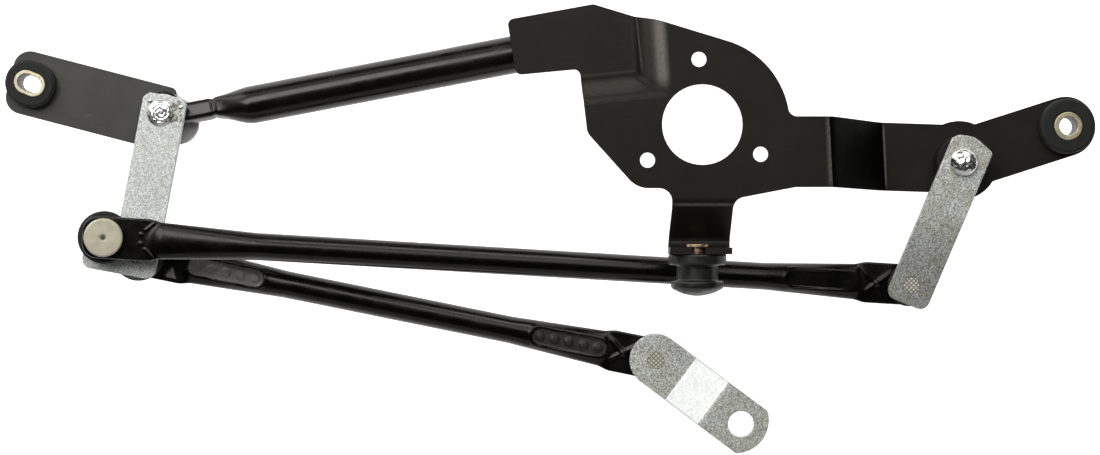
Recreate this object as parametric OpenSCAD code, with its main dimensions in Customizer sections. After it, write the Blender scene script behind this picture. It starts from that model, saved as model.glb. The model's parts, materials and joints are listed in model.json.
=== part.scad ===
// Windscreen wiper linkage: a stamped motor bracket and a frame tube carry two pivots.
// Two levers swing on the pivots, two connecting rods join them by ball sockets,
// and a loose motor crank hangs on the end of the short rod.
// X runs along the frame, Y across it, and Z stands up from the motor plate's front face.
// The origin is the motor axis on that face.

/* [Sheet metal] */
// Thickness of the bracket and plate sheet
sheet_t = 3; // [2.5:0.1:3.4]
// Inside radius of the sheet bends
bend_r = 3; // [2:0.5:4]

/* [Motor plate] */
// Hole for the gearbox boss of the motor
motor_hole_d = 37; // [32:0.5:40]
// Motor bolt holes
motor_bolt_d = 7; // [5.5:0.1:8]
// Bolt circle of the motor bolts
motor_bolt_pcd = 60; // [56:0.5:62]
// Round right shoulder of the plate about the motor axis
plate_r = 40.1; // [39:0.1:42]
// Fall of the plate's straight top edge to the right, in degrees
top_fall = 15.9; // [14:0.1:17]
// Reach of the plate left of the motor axis
plate_left = 54.8; // [51:0.1:56]
// Reach of the plate below the motor axis
plate_low = 29.2; // [28.5:0.1:31]

/* [Tube pad] */
// Drop of the tube pad behind the motor plate
pad_drop = 22; // [18:0.5:25]
// Left end of the pad, from the motor axis
pad_left = 90; // [86:0.1:92]
// Lower edge of the pad above the motor axis
pad_low = 26.8; // [25.5:0.1:27.5]
// Crease at the foot of the pad, above the motor axis
pad_crease = 23.8; // [23:0.1:25]
// Run of the two ramps that lead up from the pad to the motor plate
pad_ramp = 9.6; // [8:0.1:11]

/* [Right arm] */
// Start of the arm's ramp, from the motor axis
arm_ramp_x = 59.7; // [55:0.1:62]
// Run of the arm's ramp
arm_ramp = 28; // [25:0.1:31]
// Width of the arm
arm_w = 32.5; // [30:0.1:34]
// Top edge of the arm above the motor axis
arm_top = 3.8; // [2:0.1:5]
// Fall of the arm to the right, in degrees
arm_fall = 1.9; // [0:0.1:3]
// Round boss of the arm about the right pivot
arm_boss_r = 18.9; // [18:0.1:20]
// Round end of the arm's ear about its grommet
ear_r = 14.3; // [14:0.1:15.5]

/* [Locator tab] */
// Width of the tab below the motor plate
tab_w = 28; // [26:0.5:30]
// Bend line of the tab below the motor axis
tab_bend = 36; // [35.5:0.1:38]
// Depth of the tab's ramp
tab_drop = 19.5; // [17:0.5:21]
// Distance of the flange's inner face below the motor axis
flange_y = 56.5; // [54:0.1:59]
// Height of the flange's edge above the motor plate
flange_top = 6; // [4:0.5:8]
// Height of the locator's axis from the motor plate's front face
locator_z = -7; // [-8:0.5:-6]
// Shank of the locator stud
stud_d = 6.5; // [5:0.1:7]
// Largest diameter of the rubber locator
locator_d = 26.8; // [24:0.1:27.6]

/* [Pivots] */
// Left pivot, along the frame from the motor axis
left_pivot_x = -250.7; // [-256:0.1:-246]
// Left pivot, across the frame
left_pivot_y = 6.1; // [4:0.1:8]
// Right pivot, along the frame from the motor axis
right_pivot_x = 124.9; // [122:0.1:128]
// Right pivot, across the frame
right_pivot_y = -16.5; // [-18:0.1:-15]
// Pivot shafts
shaft_d = 10; // [9:0.1:11]
// Wall of the pivot bushes
bush_wall = 1.5; // [1:0.1:2]
// Running clearance of a shaft in its bush, on the radius
shaft_gap = 0.04; // [0.02:0.01:0.08]
// Upper boss of the left pivot housing
left_boss_d = 20.4; // [20:0.1:22]
// Upper boss of the right pivot housing
right_boss_d = 24; // [22:0.1:25]
// Length of a pivot housing
housing_l = 50; // [44:0.5:56]
// Depth of the carrying plate below the top of the lever
plate_gap = 17; // [15:0.5:20]

/* [Levers] */
// Distance from a pivot to the ball of the long rod, equal on both levers
lever_l = 63; // [60:0.1:66]
// Direction of both levers at rest, in degrees
lever_angle = -113.1; // [-118:0.1:-108]
// Width of the levers
lever_w = 20.4; // [19:0.1:22]
// Thickness of the levers and the crank
lever_t = 4; // [3.5:0.1:4.5]
// Height of the left lever's top face
left_lever_z = -17; // [-19:0.5:-15]
// Height of the right lever's top face
right_lever_z = -33; // [-36:0.5:-30]
// Distance from the left pivot to the ball of the short rod
rear_ball_l = 67.2; // [64:0.1:70]
// Direction of that ball at rest, in degrees
rear_ball_angle = -100.3; // [-104:0.1:-97]

/* [Rods] */
// Link tubes
rod_d = 12.7; // [12:0.1:13.2]
// Width of the flattened rod ends
rod_end_w = 19.4; // [18.8:0.1:19.6]
// Thickness of the flattened rod ends
rod_end_t = 4; // [3.4:0.1:4.6]
// Balls of the studs
ball_d = 13; // [12:0.1:13.4]
// Clearance between a ball and its socket, on the radius
ball_gap = 0.3; // [0.25:0.05:0.5]
// Wall of the socket around the ball
socket_wall = 0.9; // [0.8:0.1:1.2]
// Top disc of a ball socket
socket_d = 17.6; // [17:0.1:18.6]
// Dust boots under the sockets
boot_d = 24.4; // [23:0.1:25]
// Ball centre above the left lever for the long rod
front_rise = 12; // [11:0.5:14]
// Ball centre below the lever or crank for the other balls
rear_rise = 9; // [8.5:0.5:11]

/* [Crank] */
// Ball of the crank, along the frame from the motor axis
crank_ball_x = -20.4; // [-26:0.1:-14]
// Ball of the crank, across the frame
crank_ball_y = -109.4; // [-112:0.1:-104]
// Height of the crank's top face at its ball
crank_z = -24; // [-27:0.5:-21]
// Distance from the ball to the motor shaft's hole
crank_l = 48.5; // [44:0.5:54]
// Direction of the crank at rest, in degrees
crank_angle = -36.6; // [-60:0.1:-15]
// Width of the crank
crank_w = 24.6; // [23:0.1:26]
// Rise of the motor end of the crank
crank_rise = 12; // [8:0.5:14]
// Hole for the motor shaft
crank_hole_d = 12; // [9:0.1:13]

/* [Frame] */
// Frame tube
tube_d = 17.8; // [16:0.1:19]
// Wall of the frame tube
tube_wall = 1.5; // [1.2:0.1:2]
// Squared neck at the left end of the tube
neck_w = 9.2; // [8.8:0.1:10.5]
// Width of the left plate
left_plate_w = 30.2; // [29:0.1:32]
// Direction of the left plate's axis, in degrees
left_plate_angle = -14.6; // [-17:0.1:-12]
// Distance between the left pivot and the left grommet
left_grommet_l = 64.7; // [62:0.1:68]
// Drop of the left plate's centre line below the left pivot
left_plate_shift = 2.2; // [0:0.1:4]

/* [Grommets] */
// Round rubber grommet
grommet_d = 26.2; // [25:0.1:27]
// Height of a grommet above its plate
grommet_h = 7; // [5:0.5:9]
// Waist of a grommet in its plate
grommet_waist = 18; // [16.5:0.1:19]
// Width of the left, oval grommet
slot_grommet_w = 21.4; // [20.5:0.1:23]
// Waist of the oval grommet in its plate
slot_waist = 15.4; // [14.5:0.1:16.5]
// Spacer sleeve in the round grommet
sleeve_d = 13.4; // [12.5:0.1:14]
// Bore of the right sleeve
sleeve_bore = 8.7; // [8:0.1:9.2]
// Width of the left sleeve
slot_sleeve_w = 11.2; // [10.5:0.1:12]
// Extra length of the left sleeve's slot
slot_travel = 3.8; // [2:0.1:5]
// Direction of that slot, in degrees
slot_angle = -22; // [-30:1:-10]

/* [Hidden] */
$fn = 64;
eps = 0.01;
far = 400;

black = [0.10, 0.10, 0.10];
gloss_black = [0.06, 0.06, 0.06];
zinc = [0.72, 0.73, 0.70];
steel = [0.62, 0.63, 0.64];
cast = [0.66, 0.63, 0.65];
beige = [0.70, 0.67, 0.61];
rubber = [0.14, 0.15, 0.14];
chromate = [0.76, 0.69, 0.47];
bronze = [0.55, 0.42, 0.25];

// Points of the mechanism
left_pivot = [left_pivot_x, left_pivot_y];
right_pivot = [right_pivot_x, right_pivot_y];
function polar(r, a) = [r * cos(a), r * sin(a)];
function at(p, z) = [p[0], p[1], z];
front_ball = at(left_pivot + polar(lever_l, lever_angle), left_lever_z + front_rise);
rear_ball = at(left_pivot + polar(rear_ball_l, rear_ball_angle), left_lever_z - lever_t - rear_rise);
right_ball = at(right_pivot + polar(lever_l, lever_angle), right_lever_z - lever_t - rear_rise);
crank_ball = [crank_ball_x, crank_ball_y, crank_z - lever_t - rear_rise];
left_plate_z = left_lever_z - plate_gap;
right_plate_z = right_lever_z - plate_gap;
left_grommet_at = left_pivot + polar(left_grommet_l, 180 + left_plate_angle)
  + polar(left_plate_shift, left_plate_angle - 90);
ear_angle = 17.8;
ear_reach = [51.1, 17.4];
right_grommet_at = right_pivot + ear_reach;
ear_l = ear_reach[0] / cos(ear_angle);
arm_boss_at = right_pivot + [0.3, 1.2];

// Rounded outlines: each vertex is [x, y, radius]
function unit(v) = v / norm(v);
function turn(a) = a > 180 ? a - 360 : a < -180 ? a + 360 : a;
function xy(p) = [p[0], p[1]];
function corner(a, p, b, r, steps) =
  let (u = unit(a - p), w = unit(b - p), half = acos(u * w) / 2)
  r <= 0 || half > 89 ? [p] :
  let (c = p + unit(u + w) * r / sin(half), s = p + u * r / tan(half), e = p + w * r / tan(half),
    a0 = atan2(s[1] - c[1], s[0] - c[0]), da = turn(atan2(e[1] - c[1], e[0] - c[0]) - a0))
  [for (i = [0:steps]) c + polar(r, a0 + da * i / steps)];
function rounded(v, steps = 8) = let (n = len(v))
  [for (i = [0:n - 1]) each corner(xy(v[(i + n - 1) % n]), xy(v[i]), xy(v[(i + 1) % n]), v[i][2], steps)];

// Bent sheet: the face of an open path of [x, z] points, moved by a depth under it, with its bends rounded
function normal(a, b) = let (d = unit(b - a)) [d[1], -d[0]];
function sunk(v, depth) = let (n = len(v))
  [for (i = [0:n - 1])
    let (n1 = normal(v[max(i - 1, 0)], v[max(i, 1)]), n2 = normal(v[min(i, n - 2)], v[min(i + 1, n - 1)]))
    v[i] + (n1 + n2) * depth / (1 + n1 * n2)];
function bends_down(a, p, b) = (p - a)[0] * (b - p)[1] - (p - a)[1] * (b - p)[0] < 0;
function bent(v, depth, t, steps = 6) = let (n = len(v), s = sunk(v, depth))
  [for (i = [0:n - 1]) each i == 0 || i == n - 1 ? [s[i]] :
    let (down = bends_down(v[i - 1], v[i], v[i + 1]))
    corner(s[i - 1], s[i], s[i + 1], down ? bend_r + t - depth : bend_r + depth, steps)];

// The space above or below a bent path's face, up or down to a level
module beyond(path, depth, t, level, steps = 6) {
  last = len(path) - 1;
  polygon(concat(bent(path, depth, t, steps), [[path[last][0], level], [path[0][0], level]]));
}

module bent_strip(path, t) {
  back = bent(path, t, t);
  polygon(concat(bent(path, 0, t), [for (i = [len(back) - 1:-1:0]) back[i]]));
}

// Lofted tubes along X: each station is [place, width, height, corner radius, sideways shift]
function section(s, n) = [for (i = [0:n - 1]) let (a = (i + 0.5) * 360 / n)
  [s[0],
    s[4] + sign(cos(a)) * (s[1] / 2 - s[3]) + s[3] * cos(a),
    sign(sin(a)) * (s[2] / 2 - s[3]) + s[3] * sin(a)]];
module loft(stations, n = 24) {
  rings = len(stations);
  points = [for (s = stations) each section(s, n)];
  sides = [for (i = [0:rings - 2]) for (j = [0:n - 1])
    let (a = i * n + j, b = i * n + (j + 1) % n, c = b + n, d = a + n)
    each [[a, d, c], [a, c, b]]];
  start = [for (j = [0:n - 1]) j];
  end = [for (j = [n - 1:-1:0]) (rings - 1) * n + j];
  polyhedron(points, concat(sides, [start, end]));
}

// Local X from one point to another
module along(a, b) {
  d = b - a;
  translate(a) rotate([0, -atan2(d[2], norm(xy(d))), atan2(d[1], d[0])]) children();
}

module prism(low, high) {
  translate([0, 0, low]) linear_extrude(high - low) children();
}

module tube_ring(r_out, r_in, low, high) {
  translate([0, 0, low]) difference() {
    cylinder(r = r_out, h = high - low);
    translate([0, 0, -1]) cylinder(r = r_in, h = high - low + 2);
  }
}

// Mounting bracket: motor plate, tube pad, right arm with its ear, and locator tab, from one sheet
pad_ramp_x = -18.3;
ramp_turn = 3;
foot_x = -40;
foot_turn = 6;
pad_corner_r = 3;
apex_x = -49.7;
apex_lift = 1.2;
pad_w = 23;
pad_rake = 4.2;
pad_sag = 2.8;
plate_foot = 30;
plate_knee = 3.8;
plate_hip = 13;
arm_root = 43;
motor_bolt_turn = 93;
tab_x = 0.2;
tab_flare = 1;
tab_run = flange_y - tab_bend;
tab_root = tab_bend - 1.8;
tab_start = tab_bend - (bend_r + sheet_t) * tan(atan2(tab_drop, tab_run) / 2) - 0.2;
top_normal = polar(1, 90 - top_fall);
function top_y(x) = (plate_r - top_normal[0] * x) / top_normal[1];
arm_low = arm_top - arm_w;
arm_slope = tan(arm_fall);
shoulder_fillet = 4;
fillet_y = arm_top + shoulder_fillet;
fillet_c = [sqrt(pow(plate_r + shoulder_fillet, 2) - fillet_y * fillet_y), fillet_y];

module bracket_outline() {
  top_foot = top_normal * plate_r;
  polygon(rounded([
    [-pad_left, pad_low + pad_w, pad_corner_r],
    [apex_x, top_y(apex_x) + apex_lift, pad_corner_r],
    [top_foot[0], top_foot[1], 0],
    [plate_r * 0.6, plate_r * 0.6, 0],
    [plate_r * 0.9, arm_top, 0],
    [arm_ramp_x, arm_top, 0],
    [right_pivot_x, arm_top - (right_pivot_x - arm_ramp_x) * arm_slope, 0],
    [right_pivot_x, arm_low - (right_pivot_x - arm_ramp_x) * arm_slope, 0],
    [arm_ramp_x, arm_low, 0],
    [arm_root, arm_low, 8],
    [tab_x + tab_w / 2, -tab_root, 5.5],
    [tab_x + tab_w / 2, -tab_bend - 3, 0],
    [tab_x + tab_w / 2 - tab_flare, -flange_y - sheet_t - 1, 0],
    [tab_x - tab_w / 2 - tab_flare * 1.6, -flange_y - sheet_t - 1, 0],
    [tab_x - tab_w / 2, -tab_bend - 3, 0],
    [tab_x - tab_w / 2, -plate_low, 6],
    [-plate_foot, -plate_low, 12],
    [2 - plate_left, -plate_knee, 6],
    [-plate_left, plate_hip, 0],
    [-plate_left - 1.2, pad_low, 3],
    [pad_rake - pad_left, pad_low - pad_sag, pad_corner_r]]));
}

module shoulder_outline() {
  difference() {
    polygon([[plate_r * 0.7, arm_top - 1], [fillet_c[0], arm_top - 1], [fillet_c[0], arm_top],
      fillet_c * plate_r / (plate_r + shoulder_fillet)]);
    translate(fillet_c) circle(r = shoulder_fillet);
  }
}

// The bracket's outline as a tall block
module bracket_block(low, high) {
  prism(low, high) bracket_outline();
  prism(low, high) shoulder_outline();
  intersection() {
    prism(low, high) circle(r = plate_r);
    translate([0, 0, low]) cube([plate_r + 1, plate_r + 1, high - low]);
  }
  prism(low, high) translate(arm_boss_at) circle(r = arm_boss_r);
  prism(low, high) translate(right_grommet_at) circle(r = ear_r);
  prism(low, high) translate(right_grommet_at) rotate(ear_angle) translate([-ear_l, -ear_r])
    square([ear_l, 2 * ear_r]);
}

// The sheet is cut from a slab by the spaces above and below it. It bends across X at the pad's side ramp
// and at the arm, and across Y at the pad's foot. The slack and the steps of the bends keep the faces
// of the two directions apart.
slack = 0.02;
foot_steps = 5;
foot_reach = 26;
sheet_low = right_plate_z - 3 * sheet_t;
arm_bend = arm_ramp_x - pad_ramp_x;
module across_x() {
  translate([pad_ramp_x, 0, 0]) rotate(ramp_turn) rotate([90, 0, 0])
    linear_extrude(far, center = true) children();
}
module across_y() {
  translate([foot_x, pad_crease, 0]) rotate(foot_turn) translate([foot_reach - far, 0, 0])
    rotate([90, 0, 90]) linear_extrude(far) children();
}

module sheet_slab() {
  high = flange_top + 1;
  side_void = [[-far, -pad_drop], [-pad_ramp, -pad_drop], [0, 0], [far, slack]];
  foot_void = [[-far, slack], [-pad_ramp, 0], [0, -pad_drop - slack], [far, -pad_drop - slack]];
  arm_foot = [arm_bend + arm_ramp, right_plate_z];
  arm_void = [[arm_bend - pad_ramp, slack], [arm_bend, 0], arm_foot, [far, right_plate_z]];
  side_path = [[-far, -pad_drop], [-pad_ramp, -pad_drop], [0, 0], [arm_bend, 0],
    arm_foot, [far, right_plate_z]];
  foot_path = [[-far, 0], [-pad_ramp, 0], [0, -pad_drop], [far, -pad_drop]];
  difference() {
    translate([-far, -far, sheet_low]) cube([2 * far, 2 * far, -sheet_low]);
    intersection() {
      across_x() beyond(side_void, 0, sheet_t, high);
      across_y() beyond(foot_void, 0, sheet_t, high, foot_steps);
    }
    across_x() beyond(arm_void, 0, sheet_t, high);
    across_x() beyond(side_path, sheet_t, sheet_t, sheet_low - 1);
    across_y() beyond(foot_path, sheet_t + slack, sheet_t, sheet_low - 2, foot_steps);
    translate([tab_x - tab_w, -far - tab_start, -far / 2]) cube([2 * tab_w, far, far]);
  }
}

module tab_strip() {
  path = [[0, 0], [-tab_bend, 0], [-flange_y, -tab_drop], [-flange_y, flange_top]];
  mirrored = [for (p = path) [-p[0], p[1]]];
  intersection() {
    translate([tab_x - tab_w, 0, 0]) rotate([90, 0, 90]) linear_extrude(2 * tab_w)
      mirror([1, 0]) bent_strip(mirrored, sheet_t);
    translate([-far / 2, -far - tab_start, -far / 2]) cube(far);
  }
}

module mounting_bracket() {
  color(black) difference() {
    intersection() {
      bracket_block(right_plate_z - 2 * sheet_t, flange_top + 1);
      union() {
        sheet_slab();
        tab_strip();
      }
    }
    prism(-far, far) circle(d = motor_hole_d);
    for (i = [0:2]) rotate(motor_bolt_turn + 120 * i) translate([motor_bolt_pcd / 2, 0, -far / 2])
      cylinder(d = motor_bolt_d, h = far);
    translate(at(right_pivot, -far)) cylinder(r = housing_neck_r, h = far);
    translate(at(right_grommet_at, -far)) cylinder(d = grommet_waist, h = far);
    translate([locator_x, -flange_y + 1, locator_z]) rotate([90, 0, 0]) cylinder(d = stud_d, h = sheet_t + 2);
    translate([locator_x - stud_d / 2, -flange_y - sheet_t - 1, locator_z]) cube([stud_d, sheet_t + 2, far]);
  }
}

// Frame tube: round, with a squared neck crimped on the left pivot housing and welded under the pad
neck_shift = 1.7;
pad_under = -pad_drop - sheet_t;
tube_left = [left_pivot_x + left_boss_d / 2 - 2, left_pivot_y - 2, left_plate_z + neck_w / 2 + 0.3];
tube_right_x = -45;
tube_right_y = 42.4;
tube_seat = 0.05;
tube_fall = (tube_left[2] - pad_under + tube_d / 2 + tube_seat) / (-pad_left - tube_left[0]);
tube_right = [tube_right_x, tube_right_y, tube_left[2] - (tube_right_x - tube_left[0]) * tube_fall];
tube_l = norm(tube_right - tube_left);
neck_l = 14.6;
neck_blend = 19;
neck_corner_r = 2.4;
tube_steps = [0, neck_l, for (i = [1:8]) neck_l + neck_blend * i / 8, tube_l];
spigot_r = 3.6;
spigot_l = 16;
function ease(t) = t <= 0 ? 0 : t >= 1 ? 1 : t * t * (3 - 2 * t);
function tube_station(s) = let (f = ease((s - neck_l) / neck_blend), w = neck_w + (tube_d - neck_w) * f)
  [s, w, w, neck_corner_r + (tube_d / 2 - neck_corner_r) * f, neck_shift * (1 - f)];

module frame_tube() {
  color(gloss_black) difference() {
    along(tube_left, tube_right) difference() {
      loft([for (s = tube_steps) tube_station(s)], 32);
      translate([neck_l + neck_blend, 0, 0]) rotate([0, 90, 0])
        cylinder(d = tube_d - 2 * tube_wall, h = tube_l);
      translate([-1, neck_shift, 0]) rotate([0, 90, 0]) cylinder(r = spigot_r, h = spigot_l + 1);
    }
    translate(at(left_pivot, -far)) cylinder(d = left_boss_d, h = 2 * far);
  }
}

// Two fillet welds in the wedges between the tube and the back of the pad
weld_r = 1.6;
weld_l = 30;
weld_start = 9;
module tube_welds() {
  rise = tube_d / 2 - weld_r;
  reach = sqrt(pow(tube_d / 2 + weld_r * 0.6, 2) - rise * rise);
  color(black) for (side = [-1, 1])
    along(at(xy(tube_right), pad_under), at(xy(tube_left), pad_under))
      translate([weld_start, side * reach, eps - weld_r]) rotate([0, 90, 0])
        cylinder(r = weld_r, h = weld_l);
}

// Left plate: carries the left pivot and the left grommet
left_plate_over = 11;
module left_plate() {
  half = left_plate_w / 2;
  color(black) prism(left_plate_z - sheet_t, left_plate_z) difference() {
    translate(left_pivot) rotate(left_plate_angle) translate([0, -left_plate_shift]) polygon(rounded([
      [-left_grommet_l - left_plate_over, half, 8],
      [1, half, 3],
      [15, -half, 10],
      [-left_grommet_l - left_plate_over, -half, 8]]));
    translate(left_pivot) circle(r = housing_neck_r);
    translate(left_grommet_at) rotate(slot_angle) obround(slot_waist + slot_travel, slot_waist);
  }
}

module obround(l, w) {
  square([l - w, w], center = true);
  for (side = [-1, 1]) translate([side * (l - w) / 2, 0]) circle(d = w);
}

// Pivots: housing, bushes, washer, shaft and circlip, below a lever whose top face is at z = 0
washer_t = 1;
lift = 0.2;
barrel_r = shaft_d / 2 + bush_wall + 3;
housing_top = -lever_t - washer_t - lift;
housing_low = housing_top - housing_l;
housing_neck_r = barrel_r + 0.4;
housing_flange_t = 4;
housing_ear = 6;
housing_ear_turn = -40;
rib_l = 12;
rib_t = 3;
head_r = shaft_d / 2 + 1.4;
bush_r = shaft_d / 2 + bush_wall;
bush_l = 14;
circlip_t = 1.2;
groove_depth = 0.6;
circlip_z = housing_low - lift - washer_t - circlip_t;
taper_l = 9;
thread_d = 8;
thread_l = 14;

module pivot_housing(tone, boss_d) {
  flange_low = -plate_gap - sheet_t - housing_flange_t;
  color(tone) difference() {
    union() {
      translate([0, 0, -plate_gap]) cylinder(d = boss_d, h = housing_top + plate_gap);
      translate([0, 0, -plate_gap - sheet_t - eps]) cylinder(r = housing_neck_r, h = sheet_t + 2 * eps);
      prism(flange_low, -plate_gap - sheet_t) rotate(housing_ear_turn)
        obround(boss_d + 2 * housing_ear, boss_d);
      translate([0, 0, housing_low]) cylinder(r = barrel_r, h = housing_top - housing_low - 1);
      for (i = [0:3]) rotate(housing_ear_turn + 90 * i) translate([0, -rib_t / 2, flange_low])
        rotate([-90, 0, 0]) linear_extrude(rib_t)
          polygon([[0, -eps], [boss_d / 2 - 0.4, -eps], [barrel_r - 0.2, rib_l], [0, rib_l]]);
    }
    translate([0, 0, housing_low - 1]) cylinder(r = bush_r, h = housing_l + 2);
  }
}

module bushes() {
  color(bronze) {
    tube_ring(bush_r, shaft_d / 2 + shaft_gap, housing_top - bush_l, housing_top);
    tube_ring(bush_r, shaft_d / 2 + shaft_gap, housing_low, housing_low + bush_l);
  }
}

module thrust_washer() {
  color(steel) tube_ring(barrel_r - 0.5, shaft_d / 2 + 0.3, housing_top, housing_top + washer_t);
}

// The shaft is peened over the lever and ends in a knurled cone and a thread for the wiper arm
module pivot_shaft(head_h) {
  shaft_low = circlip_z - 4;
  head_ball = (head_r * head_r + head_h * head_h) / (2 * head_h);
  color(zinc) difference() {
    union() {
      translate([0, 0, shaft_low]) cylinder(d = shaft_d, h = -shaft_low);
      intersection() {
        translate([0, 0, head_h - head_ball]) sphere(r = head_ball);
        cylinder(r = head_r + 1, h = head_h + 1);
      }
      translate([0, 0, shaft_low - taper_l]) cylinder(d1 = thread_d + 0.6, d2 = shaft_d, h = taper_l);
      translate([0, 0, shaft_low - taper_l - thread_l]) cylinder(d = thread_d, h = thread_l);
    }
    tube_ring(shaft_d, shaft_d / 2 - groove_depth, circlip_z, circlip_z + circlip_t);
  }
}

module circlip() {
  color(steel) difference() {
    tube_ring(shaft_d / 2 + 2.4, shaft_d / 2 - groove_depth, circlip_z, circlip_z + circlip_t);
    translate([0, -1.5, circlip_z - 1]) cube([shaft_d, 3, circlip_t + 2]);
  }
  washer_low = circlip_z + circlip_t;
  color(steel) tube_ring(shaft_d / 2 + 4, shaft_d / 2 + shaft_gap, washer_low, washer_low + washer_t);
}

module at_left_pivot() { translate(at(left_pivot, left_lever_z)) children(); }
module at_right_pivot() { translate(at(right_pivot, right_lever_z)) children(); }

module left_pivot_housing() {
  at_left_pivot() pivot_housing(cast, left_boss_d);
  color(cast) difference() {
    along(tube_left, tube_right) translate([0, neck_shift, 0]) rotate([0, 90, 0])
      cylinder(r = spigot_r, h = spigot_l);
    translate(at(left_pivot, -far)) cylinder(r = left_boss_d / 2 - 0.5, h = 2 * far);
  }
}
module right_pivot_housing() { at_right_pivot() pivot_housing(black, right_boss_d); }
module left_bushes() { at_left_pivot() bushes(); }
module right_bushes() { at_right_pivot() bushes(); }
module left_thrust_washer() { at_left_pivot() thrust_washer(); }
module right_thrust_washer() { at_right_pivot() thrust_washer(); }
module left_pivot_shaft() { at_left_pivot() pivot_shaft(1.5); }
module right_pivot_shaft() { at_right_pivot() pivot_shaft(4); }
module left_circlip() { at_left_pivot() circlip(); }
module right_circlip() { at_right_pivot() circlip(); }

// Grommets and sleeves at the fixing points, above and below a plate whose front face is at z = 0
flange_h = 4;
module at_left_grommet() { translate(at(left_grommet_at, left_plate_z)) rotate(slot_angle) children(); }
module at_right_grommet() { translate(at(right_grommet_at, right_plate_z)) children(); }
sleeve_low = -sheet_t - flange_h - 0.6;
sleeve_high = grommet_h + 0.6;
left_oval = 2.2;

module left_grommet() {
  at_left_grommet() color(rubber) difference() {
    union() {
      prism(0, grommet_h) obround(slot_grommet_w + left_oval - 1.6, slot_grommet_w - 1.6);
      prism(0.8, grommet_h - 0.8) obround(slot_grommet_w + left_oval, slot_grommet_w);
      prism(-sheet_t, 0) obround(slot_waist + slot_travel, slot_waist);
      prism(-sheet_t - flange_h, -sheet_t) obround(slot_grommet_w + left_oval, slot_grommet_w);
    }
    prism(-far / 2, far / 2) obround(slot_sleeve_w + slot_travel, slot_sleeve_w);
  }
}

slot_wall = 1.8;
module left_sleeve() {
  slot_w = slot_sleeve_w - 2 * slot_wall;
  at_left_grommet() color(chromate) prism(sleeve_low, sleeve_high) difference() {
    obround(slot_sleeve_w + slot_travel, slot_sleeve_w);
    obround(slot_w + slot_travel, slot_w);
  }
}

module right_grommet() {
  r = grommet_d / 2;
  at_right_grommet() color(rubber) rotate_extrude() polygon([
    [sleeve_d / 2, grommet_h], [r - 1, grommet_h], [r, grommet_h - 1], [r, 1], [r - 1, 0],
    [grommet_waist / 2, 0], [grommet_waist / 2, -sheet_t], [r, -sheet_t],
    [r, -sheet_t - flange_h], [sleeve_d / 2, -sheet_t - flange_h]]);
}
module right_sleeve() {
  at_right_grommet() color(chromate) tube_ring(sleeve_d / 2, sleeve_bore / 2, sleeve_low, sleeve_high);
}

// Locator: a stud clipped into the flange's open slot holds a waisted rubber plug
locator_x = -2;
stud_head_d = 10;
stud_head_t = 1.6;
stud_l = 16;
plug_disc_t = 5;
plug_neck_l = 7.4;
plug_head_l = 6.9;
plug_neck_d = 19.2;
plug_head_d = 24.4;

module at_locator() {
  translate([locator_x, -flange_y - sheet_t, locator_z]) rotate([90, 0, 0]) children();
}

module locator_stud() {
  at_locator() color(chromate) {
    translate([0, 0, -sheet_t]) cylinder(d = stud_d, h = sheet_t + stud_l);
    translate([0, 0, -sheet_t - stud_head_t]) cylinder(d = stud_head_d, h = stud_head_t);
  }
}

module locator_grommet() {
  dome_start = plug_disc_t + plug_neck_l + plug_head_l * 0.45;
  dome_h = plug_head_l * 0.55;
  dome_r = (pow(plug_head_d / 2, 2) + dome_h * dome_h) / (2 * dome_h);
  at_locator() color(rubber) difference() {
    union() {
      cylinder(d = locator_d, h = plug_disc_t);
      cylinder(d = plug_neck_d, h = dome_start);
      translate([0, 0, plug_disc_t + plug_neck_l]) cylinder(d = plug_head_d, h = plug_head_l * 0.45);
      intersection() {
        translate([0, 0, dome_start + dome_h - dome_r]) sphere(r = dome_r);
        translate([0, 0, dome_start]) cylinder(d = plug_head_d, h = dome_h + 1);
      }
    }
    translate([0, 0, -1]) cylinder(d = stud_d, h = stud_l + 1);
  }
}

// Levers
stake_d = 8.4;
stud_shank_d = 7.6;
lever_corner = 4.5;
lever_over = 8.4;
lever_clip = 2.5;
clip_r = 1.2;
foot_low = 10;
foot_rise = 6.9;
lever_shift = 0.6;
right_foot_low = 9;
right_lever_over = 11.1;
right_lever_crown = 2;
right_lever_shift = 0.9;

module left_lever() {
  half = lever_w / 2;
  foot = polar(lever_l, lever_angle - rear_ball_angle - 90);
  color(zinc) prism(left_lever_z - lever_t, left_lever_z) difference() {
    translate(left_pivot) rotate(rear_ball_angle + 90) polygon(rounded([
      [lever_shift - half, lever_over - lever_clip, clip_r],
      [lever_shift - half + lever_clip, lever_over, clip_r],
      [lever_shift + half - 2 * lever_clip, lever_over, clip_r],
      [lever_shift + half, lever_over - lever_clip, clip_r],
      [half, -rear_ball_l - foot_low, lever_corner],
      [foot[0] - half, -rear_ball_l - foot_low, lever_corner],
      [foot[0] - half, foot[1] + foot_rise, lever_corner],
      [-half, foot[1] + foot_rise, 3]]));
    translate(left_pivot) circle(d = shaft_d);
    translate(xy(front_ball)) circle(d = stud_shank_d);
    translate(xy(rear_ball)) circle(d = stud_shank_d);
  }
}

module right_lever() {
  half = lever_w / 2;
  color(zinc) prism(right_lever_z - lever_t, right_lever_z) difference() {
    translate(right_pivot) rotate(lever_angle + 90) polygon(rounded([
      [right_lever_shift - half, right_lever_over - lever_clip, clip_r],
      [right_lever_shift - half + lever_clip, right_lever_over, clip_r],
      [0, right_lever_over + right_lever_crown, half],
      [right_lever_shift + half - clip_r, right_lever_over - clip_r, clip_r],
      [right_lever_shift + half, right_lever_over - lever_clip, clip_r],
      [right_lever_shift + half, -lever_l - right_foot_low, lever_corner],
      [right_lever_shift - half, -lever_l - right_foot_low, lever_corner]]));
    translate(right_pivot) circle(d = shaft_d);
    translate(xy(right_ball)) circle(d = stud_shank_d);
  }
}

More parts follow.
